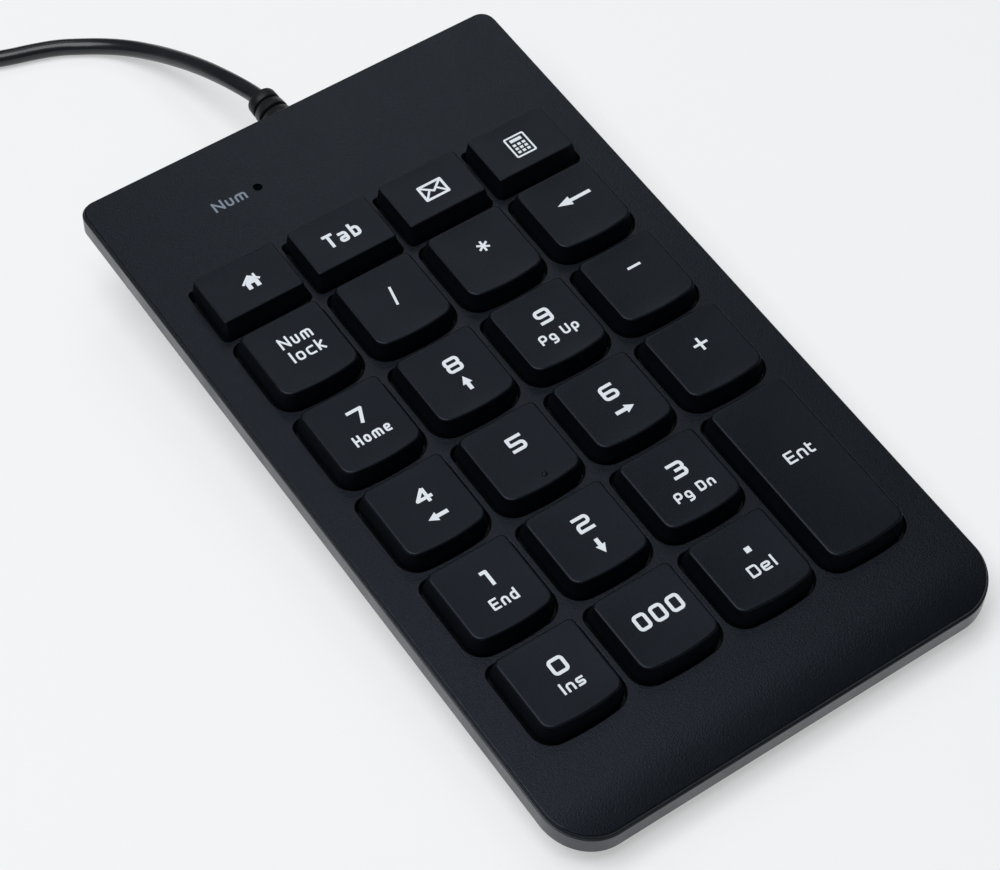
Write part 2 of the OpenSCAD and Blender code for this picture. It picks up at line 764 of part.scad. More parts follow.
top_case();
bottom_case();
key_frame();
for (k = KEYS) keycap(k);
dome_sheet();
membrane_top();
membrane_spacer();
membrane_bottom();
backing_plate();
enter_stabiliser();
controller_board();
controller_chip();
board_components();
num_lock_lamp();
tail_clamp();
clamp_rubber();
cable_socket();
cable_leads();
cord_inner_end();
strain_relief();
case_screws();
frame_screws();
clamp_screws();
rubber_feet();
rating_label();
cord_lead();
cord_coil();
cord_tail();
cable_tie();
plug_overmould();
plug_shell();
plug_insulator();
plug_contacts();
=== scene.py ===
"""Looks of a numeric keypad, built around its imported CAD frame.

Lengths in this script are millimetres until a mesh is made, when they become metres. What the case
holds is laid out in the deck's own coordinates, as in the part's source: x across, y towards the
rear, z out of the sloping top surface. deck() turns them into the frame's coordinates.
"""
import json
import math

import bmesh
import bpy
import numpy as np
from mathutils import Matrix, Vector
from mathutils.geometry import delaunay_2d_cdt


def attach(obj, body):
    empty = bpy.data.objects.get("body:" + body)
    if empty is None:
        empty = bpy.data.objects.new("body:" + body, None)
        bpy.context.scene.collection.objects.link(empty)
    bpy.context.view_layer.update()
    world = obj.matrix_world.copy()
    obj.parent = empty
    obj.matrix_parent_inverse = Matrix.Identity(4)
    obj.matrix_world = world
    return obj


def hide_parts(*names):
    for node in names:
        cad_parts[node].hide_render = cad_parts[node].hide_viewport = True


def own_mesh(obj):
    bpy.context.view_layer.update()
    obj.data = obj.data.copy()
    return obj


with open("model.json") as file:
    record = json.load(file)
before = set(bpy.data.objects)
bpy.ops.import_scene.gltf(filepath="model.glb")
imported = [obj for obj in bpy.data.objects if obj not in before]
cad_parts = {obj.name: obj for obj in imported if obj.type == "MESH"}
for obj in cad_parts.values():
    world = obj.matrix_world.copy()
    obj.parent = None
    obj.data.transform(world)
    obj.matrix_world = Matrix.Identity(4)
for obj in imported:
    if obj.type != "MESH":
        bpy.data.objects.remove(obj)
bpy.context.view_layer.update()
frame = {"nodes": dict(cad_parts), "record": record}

MM = 0.001
OVERLAP = 0.05      # how far shapes reach into each other before they are joined

# ---- Sizes, as in the part's source ----

BODY_W, BODY_L = 87.8, 151.6
TILT = math.radians(4)
DECK_HEIGHT = 14.8
BAND_H, BAND_TOP, BAND_WALL, BAND_STEP = 3.9, 0.7, 2, 1
FRONT_DROP, FRONT_ROLL = 1.5, 10
REAR_CORNER, FRONT_CORNER = 3, 9
ROLL_R = (FRONT_ROLL ** 2 + FRONT_DROP ** 2) / (2 * FRONT_DROP)
ROLL_START = FRONT_ROLL - BODY_L / 2

REVEAL_INSET, FLANGE_T, DECK_T, WELL_DEPTH = 0.35, 0.55, 1.6, 3
LIP_INSET, LIP_T, LIP_DEPTH = 2.3, 1.4, 3.4
SHELL_INSET, SHELL_T, FLOOR_Z = 0.8, 1.6, 1.2
FLOOR_HALF_W, FLOOR_FRONT_Y, FLOOR_REAR_Y = 35.9, -67.5, 71.9
EXIT_BLOCK = (12, 3.2, 9)
EXIT_FACE_Y = 75.8

PITCH, KEY_RISE, KEY_BOW = 19, 3.44, 0.8
WELL_W, WELL_D, SMALL_WELL_D, KEY_GAP = 17.8, 17.9, 12.8, 0.45
TOP_W, TOP_D, SMALL_TOP_W, SMALL_TOP_D, SMALL_SHIFT = 15.1, 15.4, 15.9, 10.6, 0.5
SKIRT_Z, CAP_T = -0.6, 1.2
STEM_R, COLLAR_R, COLLAR_Z, STEM_END_Z = 2.5, 3.2, -2.55, -3.55
ROW_1_Y, SMALL_ROW_Y = 25.8, 42.2
FRAME_HALF_W, FRAME_FRONT_Y, FRAME_REAR_Y = 38.6, -60.3, 49.8
WIRE_BAR = (22.98, -0.4)     # x and z of the stabiliser's bar

# x, y and the height where boss and pillar meet
CASE_SCREWS = [
    (-28, -63.8, -6), (28, -63.8, -6), (-19, -2.7, -9), (19, -2.7, -9), (-30, 66.5, -9), (30, 66.5, -9),
]
BOSS_R, PILLAR_R, SCREW_R, HEAD_R, SHELF, BITE = 2.4, 3.4, 1.1, 2.3, 1.2, 3.9
CLAMP_SCREWS = [(-21, 55), (21, 55)]
CLAMP_SCREW_R, CLAMP_BOSS_END_Z = 0.8, -4
LAMP_XY, LAMP_HOLE_R = (-14.6, 62.3), 0.8
FEET = [(x, y) for x in (-26, 26) for y in (-55, 56)]
FOOT_R, FOOT_T, FOOT_SUNK = 4.5, 1.6, 0.4

SHEET_Z, SHEET_T, SHEET_HALF_W, SHEET_FRONT_Y, SHEET_REAR_Y = -6.2, 0.4, 33.6, -56, 48.5
FRAME_SCREWS = [(x, y) for x in (-PITCH, 0, PITCH) for y in (ROW_1_Y - 0.5 * PITCH, ROW_1_Y - 3.5 * PITCH)]
SHEET_SCREW_R = 1
DOME_H, DOME_HOLE_R = STEM_END_Z - SHEET_Z - OVERLAP, 3.3

CORD_D = 3.2
RELIEF_Z, RELIEF_END_Y = -7.7, 85.4
RELIEF_INNER_Y, RELIEF_R, RELIEF_COLLAR_R, RELIEF_SHOULDER_R = 70.6, 3.1, 4.4, 3.7

CENTRE_SHIFT = -((BAND_TOP + BAND_H) * math.sin(TILT) + (FRONT_DROP + BAND_TOP) * math.sin(TILT)) / 2

KEYS = {
    "home": (0, 0), "tab": (1, 0), "mail": (2, 0), "calculator": (3, 0),
    "num_lock": (0, 1), "divide": (1, 1), "multiply": (2, 1), "backspace": (3, 1),
    "7": (0, 2), "8": (1, 2), "9": (2, 2), "minus": (3, 2),
    "4": (0, 3), "5": (1, 3), "6": (2, 3), "plus": (3, 3),
    "1": (0, 4), "2": (1, 4), "3": (2, 4), "enter": (3, 4.5),
    "0": (0, 5), "triple_zero": (1, 5), "decimal": (2, 5),
}


def key_place(column, row):
    """Centre of a key on the deck."""
    y = ROW_1_Y - (row - 1) * PITCH if row else SMALL_ROW_Y
    return (column - 1.5) * PITCH, y


def is_small(name):
    return KEYS[name][1] == 0


def extra_depth(name):
    return PITCH if name == "enter" else 0


def deck(points):
    """Deck coordinates to the frame's."""
    p = np.asarray(points, float)
    x, y, z = p[..., 0], p[..., 1], p[..., 2]
    c, s = math.cos(TILT), math.sin(TILT)
    return np.stack([x, y * c - z * s + CENTRE_SHIFT, DECK_HEIGHT + y * s + z * c], -1)


def deck_at(y):
    """Height of the deck's surface, which rolls down at the front."""
    run = np.maximum(ROLL_START - np.asarray(y, float), 0)
    return np.sqrt(ROLL_R ** 2 - run ** 2) - ROLL_R


def new_object(name, data):
    made = bpy.data.objects.new(name, data)
    bpy.context.scene.collection.objects.link(made)
    return made


# ---- Camera ----

CAMERA_AT = Vector((-171.41, -247.80, 390.40)) * MM
CAMERA_TARGET = Vector((-9.22, -5.98, 14.8)) * MM
CAMERA_ROLL = math.radians(-1.0)
CAMERA_LENS = 102.19


def make_camera():
    data = bpy.data.cameras.new("camera")
    data.lens = CAMERA_LENS
    data.sensor_width = 36
    data.clip_start, data.clip_end = 0.01, 20
    camera = new_object("camera", data)
    aim = (CAMERA_TARGET - CAMERA_AT).to_track_quat("-Z", "Y").to_matrix().to_4x4()
    camera.matrix_world = Matrix.Translation(CAMERA_AT) @ aim @ Matrix.Rotation(CAMERA_ROLL, 4, "Z")
    bpy.context.scene.camera = camera


make_camera()


# ---- Materials ----

SHEEN = 0.22                    # Specular IOR Level of plastics, unless given
COOL = (0.76, 0.84, 1.0, 1.0)   # tint of the reflections on the case and keys
PATCH = 9                       # size of the soft patches in colour and gloss


def put(node, **values):
    for socket, value in values.items():
        node.inputs[socket.replace("_", " ")].default_value = value


def material(name, colour, roughness, grain=0.25, relief=0.012, mottle=0.08, spread=0.08, **sockets):
    """A moulded surface: grain of that size and depth, with soft patches in its colour and gloss."""
    made = bpy.data.materials.new(name)
    made.use_nodes = True
    nodes, links = made.node_tree.nodes, made.node_tree.links
    shader = nodes["Principled BSDF"]
    put(shader, **{"Specular_IOR_Level": SHEEN, **sockets})
    coords = nodes.new("ShaderNodeTexCoord")

    def noise(size, detail):
        node = nodes.new("ShaderNodeTexNoise")
        put(node, Scale=1 / (size * MM), Detail=detail)
        links.new(coords.outputs["Object"], node.inputs["Vector"])
        return node.outputs["Fac"]

    def ranged(source, low, high):
        node = nodes.new("ShaderNodeMapRange")
        put(node, From_Min=0.3, From_Max=0.7, To_Min=low, To_Max=high)
        links.new(source, node.inputs["Value"])
        return node.outputs["Result"]

    fine, soft = noise(grain, 2), noise(PATCH, 3)
    shade = nodes.new("ShaderNodeMix")
    shade.data_type = "RGBA"
    put(shade, A=[c * (1 - mottle) for c in colour] + [1], B=[c * (1 + mottle) for c in colour] + [1])
    mixed = nodes.new("ShaderNodeMath")
    mixed.operation = "MULTIPLY_ADD"
    mixed.inputs[1].default_value = 0.5
    links.new(ranged(fine, 0, 1), mixed.inputs[0])
    links.new(ranged(soft, 0, 0.5), mixed.inputs[2])
    links.new(mixed.outputs[0], shade.inputs["Factor"])
    links.new(shade.outputs["Result"], shader.inputs["Base Color"])
    links.new(ranged(soft, roughness - spread, roughness + spread), shader.inputs["Roughness"])
    bump = nodes.new("ShaderNodeBump")
    put(bump, Strength=1, Distance=relief * MM)
    links.new(fine, bump.inputs["Height"])
    links.new(bump.outputs["Normal"], shader.inputs["Normal"])
    return made


def brushed(name, colour, roughness):
    """Metal with fine lines drawn along x."""
    made = material(name, colour, roughness, grain=0.2, relief=0.003, mottle=0.1, Metallic=1.0)
    nodes, links = made.node_tree.nodes, made.node_tree.links
    mapping = nodes.new("ShaderNodeMapping")
    put(mapping, Scale=(1, 30, 30))
    coords = nodes["Texture Coordinate"]
    links.new(coords.outputs["Object"], mapping.inputs["Vector"])
    for node in nodes:
        if node.type == "TEX_NOISE":
            links.new(mapping.outputs["Vector"], node.inputs["Vector"])
            node.inputs["Scale"].default_value /= 8
    return made


M = {}


def finish(name, *look, make=material, **sockets):
    M[name] = make(name, *look, **sockets)


finish("deck_plastic", (0.0038, 0.0049, 0.0074), 0.3, grain=0.28, relief=0.045, spread=0.02,
       Specular_IOR_Level=0.215, Specular_Tint=COOL)
finish("shell_plastic", (0.012, 0.0125, 0.014), 0.3, grain=0.4, relief=0.004, mottle=0.04,
       Specular_IOR_Level=0.55, Specular_Tint=COOL)
finish("key_plastic", (0.0035, 0.0045, 0.0069), 0.32, grain=0.3, relief=0.02, spread=0.02,
       Specular_IOR_Level=0.185, Specular_Tint=COOL)
finish("legend_print", (0.86, 0.89, 0.93), 0.5, grain=0.12, relief=0.004, mottle=0.05)
finish("deck_print", (0.22, 0.255, 0.31), 0.5, grain=0.12, relief=0.004, mottle=0.06)
finish("frame_plastic", (0.012, 0.0125, 0.014), 0.5)
finish("silicone", (0.62, 0.64, 0.66), 0.45, Subsurface_Weight=0.2)
finish("film", (0.62, 0.7, 0.66), 0.25, relief=0.002)
finish("spacer_film", (0.78, 0.8, 0.8), 0.2, relief=0.002)
finish("plate_steel", (0.55, 0.56, 0.57), 0.38, make=brushed)
finish("wire_steel", (0.6, 0.6, 0.6), 0.3, make=brushed)
finish("board_laminate", (0.03, 0.16, 0.06), 0.35, grain=0.5, mottle=0.2)
finish("chip_plastic", (0.02, 0.02, 0.022), 0.5)
finish("component_body", (0.45, 0.34, 0.16), 0.4)
finish("lamp_lens", (0.1, 0.12, 0.11), 0.15, relief=0.001)
finish("socket_nylon", (0.8, 0.78, 0.7), 0.4)
finish("lead_insulation", (0.5, 0.04, 0.03), 0.3)
finish("cord_pvc", (0.01, 0.011, 0.014), 0.27, grain=0.5, relief=0.006, spread=0.03,
       Specular_IOR_Level=0.5)
finish("relief_pvc", (0.011, 0.0115, 0.013), 0.42, grain=0.3, relief=0.008)
finish("screw_steel", (0.5, 0.5, 0.5), 0.35, make=brushed)
finish("foot_rubber", (0.018, 0.018, 0.02), 0.8, grain=0.3, relief=0.03)
finish("clamp_strip", (0.03, 0.03, 0.03), 0.75)
finish("label_film", (0.42, 0.43, 0.44), 0.38, grain=0.3, relief=0.003)
finish("tie_plastic", (0.012, 0.012, 0.013), 0.45, grain=0.25, relief=0.02)
finish("plug_pvc", (0.014, 0.0145, 0.016), 0.45, grain=0.25, relief=0.012)
finish("plug_steel", (0.72, 0.73, 0.74), 0.2, make=brushed)
finish("plug_nylon", (0.8, 0.8, 0.78), 0.4)
finish("contact_gold", (0.83, 0.62, 0.25), 0.22, make=brushed)
for subpart in frame["record"]["subparts"]:
    kept = frame["nodes"][subpart["node"]]
    kept.data.materials.clear()
    kept.data.materials.append(M[subpart["material_slot"]])


# ---- Outlines and lofted shapes ----

def arc(cx, cy, r, start, end, n):
    angles = np.radians(np.linspace(start, end, n + 1))
    return [(cx + r * math.cos(a), cy + r * math.sin(a)) for a in angles]


def between(p, q, n):
    """Points that divide a straight edge, without its ends."""
    return [tuple(np.add(np.multiply(p, 1 - t), np.multiply(q, t))) for t in np.arange(1, n) / n]


def outline(w, d, rear_r, front_r, bow=0, n=6, edge_n=8):
    """A rounded rectangle, counter-clockwise from the rear right, whose front edge may bow forward."""
    if bow:
        bow_r = (w * w / 4 + bow * bow) / (2 * bow)
        lean = math.degrees(math.asin((w / 2 - front_r) / (bow_r - front_r)))
        corner_y = bow_r - d / 2 - (bow_r - front_r) * math.cos(math.radians(lean))
        front = arc(0, bow_r - d / 2, bow_r, 270 - lean, 270 + lean, edge_n)[1:-1]
    else:
        lean, corner_y = 0, front_r - d / 2
        front = between((front_r - w / 2, -d / 2), (w / 2 - front_r, -d / 2), edge_n)
    rear_right = arc(w / 2 - rear_r, d / 2 - rear_r, rear_r, 0, 90, n)
    rear_left = arc(rear_r - w / 2, d / 2 - rear_r, rear_r, 90, 180, n)
    front_left = arc(front_r - w / 2, corner_y, front_r, 180, 270 - lean, n)
    front_right = arc(w / 2 - front_r, corner_y, front_r, 270 + lean, 360, n)
    return np.array(
        rear_right + between(rear_right[-1], rear_left[0], edge_n)
        + rear_left + between(rear_left[-1], front_left[0], edge_n)
        + front_left + front + front_right + between(front_right[-1], rear_right[0], edge_n)
    )


def at_height(flat, z):
    return np.column_stack([flat, np.broadcast_to(z, len(flat))])


def loft(loops, caps="polygon"):
    """Faces between loops of equally many points. A ladder cap spans a symmetrical loop with strips,
    a ring joins the last loop to the first."""
    loops = [np.asarray(loop, float) for loop in loops]
    n, last = len(loops[0]), len(loops) - 1
    faces = []
    for i in range(last + (caps == "ring")):
        a, b = i * n, (i + 1) % (last + 1) * n
        faces += [(a + s, a + (s + 1) % n, b + (s + 1) % n, b + s) for s in range(n)]
    if caps == "polygon":
        faces += [tuple(reversed(range(n))), tuple(range(last * n, last * n + n))]
    if caps == "ladder":
        for base in (0, last * n):
            faces += [(base + s, base + s + 1, base + n - 2 - s, base + n - 1 - s)
                      for s in range(n // 2 - 1)]
    return np.concatenate(loops), faces


def domed(loops, centre):
    """A loft whose last loop closes on a point."""
    points, faces = loft(loops, caps="none")
    n, last = len(loops[0]), (len(loops) - 1) * len(loops[0])
    faces += [(last + s, last + (s + 1) % n, len(points)) for s in range(n)]
    return np.vstack([points, centre]), faces


def cylinder(x, y, r, low, high, n=32):
    circle = np.array(arc(x, y, r, 0, 360, n)[:-1])
    return loft([at_height(circle, low), at_height(circle, high)])


def box(low, high):
    flat = [(low[0], low[1]), (high[0], low[1]), (high[0], high[1]), (low[0], high[1])]
    return loft([at_height(flat, low[2]), at_height(flat, high[2])])


def lathe(profile, n=48, axis_z=None):
    """A profile of (radius, position) turned about z, or about a line along y at height axis_z.
    The profile starts and ends on the axis or is closed."""
    turn = np.radians(np.linspace(0, 360, n, endpoint=False))
    loops = []
    for r, t in profile:
        ring = np.column_stack([r * np.cos(turn), r * np.sin(turn), np.full(n, t)])
        loops.append(ring if axis_z is None else ring[:, [0, 2, 1]] * [1, 1, -1] + [0, 0, axis_z])
    return loops


def joined(parts):
    """Several (points, faces) as one."""
    points, faces = [], []
    for part_points, part_faces in parts:
        base = sum(len(p) for p in points)
        points.append(np.asarray(part_points, float))
        faces += [tuple(base + i for i in face) for face in part_faces]
    return np.concatenate(points), faces


EDGE_ANGLE = 38


def clean(mesh, merge=None, dissolve=False):
    """Faces a mesh outwards, after merging points closer than that many metres and dropping slivers."""
    work = bmesh.new()
    work.from_mesh(mesh)
    if merge:
        bmesh.ops.remove_doubles(work, verts=work.verts, dist=merge)
    if dissolve:
        bmesh.ops.dissolve_degenerate(work, edges=work.edges, dist=merge)
    bmesh.ops.recalc_face_normals(work, faces=work.faces)
    work.to_mesh(mesh)
    work.free()


def shade(mesh, degrees):
    """Smooth shading, with edges sharp past that angle."""
    mesh.shade_smooth()
    mesh.set_sharp_from_angle(angle=math.radians(degrees))


def mesh_object(name, shape, place=deck, slot=None, smooth=EDGE_ANGLE):
    """A mesh from points in millimetres, in metres and in place, with its edges sharp past that angle."""
    points, faces = shape
    placed = (place(points) if place else np.asarray(points, float)) * MM
    mesh = bpy.data.meshes.new(name)
    mesh.from_pydata(placed.tolist(), [], faces)
    clean(mesh)
    if slot:
        mesh.materials.append(M[slot])
    if smooth:
        shade(mesh, smooth)
    return new_object(name, mesh)


def show(piece, body, slot, *nodes):
    """Hangs a finished piece on the body it rides on and hides the CAD parts it stands for; slot is not
    used.
    """
    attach(piece, body)
    if nodes:
        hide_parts(*nodes)
    return piece


def combine(base, shape, operation, place=deck):
    """Joins a closed shape to an object's mesh or cuts it away."""
    tool = mesh_object("tool", shape, place, smooth=None)
    step = base.modifiers.new("combine", "BOOLEAN")
    step.operation, step.object, step.solver = operation, tool, "MANIFOLD"
    depsgraph = bpy.context.evaluated_depsgraph_get()
    result = bpy.data.meshes.new_from_object(base.evaluated_get(depsgraph))
    base.modifiers.clear()
    spare = [base.data, tool.data]
    base.data = result
    bpy.data.objects.remove(tool)
    for mesh in spare:
        bpy.data.meshes.remove(mesh)
    result.name = base.name


def finish_moulding(piece):
    """Shades a moulding so that its flat faces stay flat and its small radii look round."""
    clean(piece.data, 0.5e-6, dissolve=True)
    shade(piece.data, 30)
    weighted = piece.modifiers.new("weighted_normals", "WEIGHTED_NORMAL")
    weighted.keep_sharp = True


# ---- Cord ----

# The cord's route in the frame, as in the part's source
LEAD = [
    tuple(float(v) for v in deck((0, RELIEF_END_Y, RELIEF_Z))), (-0.3, 88, 12.7), (-1.2, 92.4, 12.1),
    (-2.1, 97.3, 10.9), (-3.1, 102.6, 9.3), (-4.7, 109.6, 6.8), (-6.7, 116.1, 4.4), (-9.4, 121.4, 2.8),
    (-12.6, 125.3, 1.9), (-16, 128, 1.6), (-19.5, 130.1, 1.6), (-23.9, 131.9, 1.6), (-28.5, 133.4, 1.6),
    (-36, 136.4, 1.6), (-45, 141, 1.7), (-54, 146.2, 1.9), (-61, 150, 2.2),
]
TAIL = [
    (-97.4, 128, 11.8), (-97.8, 121, 11.6), (-98.4, 114, 9.8), (-98.9, 107, 6.7), (-99, 101, 4.6),
    (-99, 96, 4), (-99, 91, 4),
]
COIL_AT, COIL_MID_R = (-75, 132), 19.2
COIL_START, COIL_TURN, COIL_STEP = 64.9, 3715.1, 22.5     # degrees
TIE_T, TIE_W, TIE_ANGLE = 0.6, 4, 250


def coil_turns():
    """Four layers, each three turns wide at most: a turn steps one diameter inwards or outwards at its end,
    and a layer ends with a step up."""
    across, up, ease = [300, 660, 1260, 1620, 2220, 2580, 3180, 3540], [960, 1920, 2880], 60
    inwards = {300, 660, 2220, 2580}

    def eased(theta, start):
        t = min(max((theta - start) / ease, 0), 1)
        return t * t * (3 - 2 * t)

    points = []
    for theta in np.linspace(0, COIL_TURN, round(COIL_TURN / COIL_STEP) + 1):
        r = COIL_MID_R + CORD_D + sum(CORD_D * eased(theta, s) * (-1 if s in inwards else 1) for s in across)
        z = TIE_T + CORD_D / 2 + sum(CORD_D * eased(theta, s) for s in up)
        a = math.radians(COIL_START + theta)
        points.append((COIL_AT[0] + r * math.cos(a), COIL_AT[1] + r * math.sin(a), z))
    return points


def make_cord():
    route = LEAD + coil_turns() + TAIL
    data = bpy.data.curves.new("cord", "CURVE")
    data.dimensions = "3D"
    data.bevel_depth = CORD_D / 2 * MM
    data.bevel_resolution = 5
    data.resolution_u = 6
    data.use_fill_caps = True
    spline = data.splines.new("BEZIER")
    spline.bezier_points.add(len(route) - 1)
    for point, place in zip(spline.bezier_points, route):
        point.co = Vector(place) * MM
        point.handle_left_type = point.handle_right_type = "AUTO"
    data.materials.append(M["cord_pvc"])
    return show(new_object("cord", data), "case", "cord_pvc", "cord_lead", "cord_coil", "cord_tail")


cord = make_cord()


def make_tie():
    """A flat tie round the coil's section, with its end tucked under."""
    w, h, t, half = 3 * CORD_D, 4 * CORD_D, TIE_T, TIE_W / 2
    loops = []
    for grow, at in ((0.02, half - 0.15), (0.02, -half + 0.15), (0.12, -half), (t - 0.15, -half),
                     (t, -half + 0.15), (t, half - 0.15), (t - 0.15, half), (0.12, half)):
        flat = outline(w + 2 * grow, h + 2 * grow, CORD_D / 2 + grow, CORD_D / 2 + grow, n=8, edge_n=4)
        across, up = flat[:, 0] + COIL_MID_R, flat[:, 1] + t + h / 2
        loops.append(np.column_stack([across, np.full(len(flat), at), up]))
    end = outline(4.2, TIE_W - 0.6, 0.7, 0.7, n=5, edge_n=2)
    tab = loft([
        np.column_stack([end[:, 0] * k + COIL_MID_R - 1.5, end[:, 1] * k, np.full(len(end), z)])
        for k, z in ((0.94, h + 2 * t - 0.1), (1, h + 2 * t), (1, h + 2 * t + 0.35), (0.94, h + 2 * t + 0.5))
    ])
    a = math.radians(TIE_ANGLE)

    def place(p):
        x = COIL_AT[0] + p[:, 0] * math.cos(a) - p[:, 1] * math.sin(a)
        y = COIL_AT[1] + p[:, 0] * math.sin(a) + p[:, 1] * math.cos(a)
        return np.column_stack([x, y, np.clip(p[:, 2], 0, None)])

    tie = mesh_object("coil_tie", joined([loft(loops, caps="ring"), tab]), place, "tie_plastic")
    return show(tie, "case", "tie_plastic", "cable_tie")


tie = make_tie()

# ---- USB plug ----

PLUG_X, PLUG_Z, PLUG_REAR_Y = -99, 4, 90


def make_plug():
    """The moulded grip: a ribbed neck, rounded shoulders and three shallow grip channels on each side."""
    def ring(t, w, h, r):
        flat = outline(w, h, r, r, n=8, edge_n=6)
        along = np.full(len(flat), PLUG_REAR_Y - t)
        return np.column_stack([flat[:, 0] + PLUG_X, along, flat[:, 1] + PLUG_Z])

    # Distance along the plug, width, height and corner radius
    sections = [(-6, 3.4, 3.4, 1.69), (-6, 4.2, 4.2, 2.09), (-5.7, 4.5, 4.5, 2.24)]
    for start in (-5, -3.2, -1.4):
        sections += [(start, 4.6, 4.6, 2.29), (start + 0.15, 3.9, 3.9, 1.94),
                     (start + 0.75, 3.9, 3.9, 1.94), (start + 0.9, 4.8, 4.8, 2.39)]
    sections += [(0, 5.4, 5.2, 2.55), (0.2, 6.4, 5.8, 2.6), (1.2, 10.2, 6.9, 2.7), (2.6, 13, 7.5, 2.6),
                 (4.5, 14.8, 7.9, 2.5), (6.5, 15.5, 8, 2.5)]
    for start in (8, 10.6, 13.2):
        sections += [(start, 15.6, 8, 2.5), (start + 0.35, 14.9, 8, 2.3), (start + 1.25, 14.9, 8, 2.3),
                     (start + 1.6, 15.6, 8, 2.5)]
    sections += [(23.3, 15.6, 8, 2.5), (23.8, 15.3, 7.7, 2.35), (24, 14.6, 7, 2.1), (24, 12.04, 4.54, 0.42),
                 (22.4, 12.04, 4.54, 0.42)]
    plug = mesh_object("plug_grip", loft([ring(*s) for s in sections]), None, "plug_pvc")
    return show(plug, "case", "plug_pvc", "plug_overmould")


plug = make_plug()


def make_strain_relief():
    """A tapered sleeve with three grooves, a shoulder outside the wall and a collar inside it."""
    bore = CORD_D / 2 + 0.02
    collar_y, shoulder_y = EXIT_FACE_Y - EXIT_BLOCK[1], EXIT_FACE_Y + 0.6
    collar_r, shoulder_r = RELIEF_COLLAR_R, RELIEF_SHOULDER_R
    profile = [
        (bore, RELIEF_INNER_Y), (collar_r - 0.3, RELIEF_INNER_Y), (collar_r, RELIEF_INNER_Y + 0.3),
        (collar_r, collar_y), (RELIEF_R, collar_y), (RELIEF_R, EXIT_FACE_Y),
        (shoulder_r - 0.15, EXIT_FACE_Y), (shoulder_r, EXIT_FACE_Y + 0.15),
        (shoulder_r, shoulder_y - 0.15), (shoulder_r - 0.15, shoulder_y),
    ]
    for groove in (77.9, 80.2, 82.6):
        r = 3.5 - (groove - 76) * 0.08
        profile += [(r + 0.03, groove - 0.14), (r - 0.1, groove), (2.42, groove + 0.05),
                    (2.3, groove + 0.15), (2.3, groove + 0.5), (2.42, groove + 0.6),
                    (r - 0.12, groove + 0.65), (r - 0.02, groove + 0.8)]
    end = RELIEF_END_Y
    profile += [(2.9, end - 0.45), (2.78, end - 0.15), (2.5, end), (bore, end)]
    shape = loft(lathe(profile, axis_z=RELIEF_Z), caps="ring")
    sleeve = mesh_object("cord_sleeve", shape, deck, "relief_pvc")
    return show(sleeve, "case", "relief_pvc", "strain_relief")


make_strain_relief()


# ---- Case ----

def half_outline(half_w, front_y, rear_y, front_r, rear_r, side_y):
    """The right half of a case outline from front to rear and the left half back, a symmetrical loop."""
    right = arc(half_w - front_r, front_y + front_r, front_r, 270, 360, 18)
    right += [(half_w, side_y)] + arc(half_w - rear_r, rear_y - rear_r, rear_r, 0, 90, 8)
    return np.array(right + [(-x, y) for x, y in reversed(right)])


def plan(inset, z, rolled=True):
    """The case's outline, drawn in by inset, at a depth below the rolled deck."""
    flat = half_outline(
        BODY_W / 2 - inset, inset - BODY_L / 2, BODY_L / 2 - inset, FRONT_CORNER - inset,
        REAR_CORNER - min(inset, 2.4), ROLL_START,
    )
    return at_height(flat, (deck_at(flat[:, 1]) if rolled else 0) + z)


def fillet(inset, z, r, way, n=5):
    """Loops round an outer edge whose corner is at inset and z. Way 1 goes up over a top edge, and -1
    starts under a bottom edge."""
    turn = np.radians(np.linspace(0, 90, n + 1))
    if way > 0:
        return [plan(inset + r * (1 - math.cos(a)), z - r * (1 - math.sin(a))) for a in turn]
    return [plan(inset + r * (1 - math.sin(a)), z + r * (1 - math.cos(a))) for a in turn]


def well(name, grow=0.0):
    if is_small(name):
        return outline(WELL_W + 2 * grow, SMALL_WELL_D + 2 * grow, 0.8 + grow, 1.2 + grow, n=6, edge_n=1)
    d = WELL_D + extra_depth(name) + 2 * grow
    return outline(WELL_W + 2 * grow, d, 2 + grow, 4 + grow, KEY_BOW, n=8, edge_n=6)


def well_cutter(name):
    """A key's well, whose rim opens on a small radius."""
    x, y = key_place(*KEYS[name])
    rim = 0.22
    turn = np.radians((0, 22.5, 45, 67.5, 90))
    loops = [(0, -WELL_DEPTH - 1)]
    loops += [(rim * (1 - math.cos(a)), -rim * (1 - math.sin(a))) for a in turn]
    loops.append((rim, 1))
    return loft([at_height(well(name, grow) + (x, y), z) for grow, z in loops])


def hole(x, y, r):
    rim = 0.15
    loops = [(r, -3), (r, -rim), (r + rim * 0.3, -rim * 0.3), (r + rim, 0), (r + rim, 1)]
    return loft([at_height(arc(x, y, radius, 0, 360, 32)[:-1], z) for radius, z in loops])


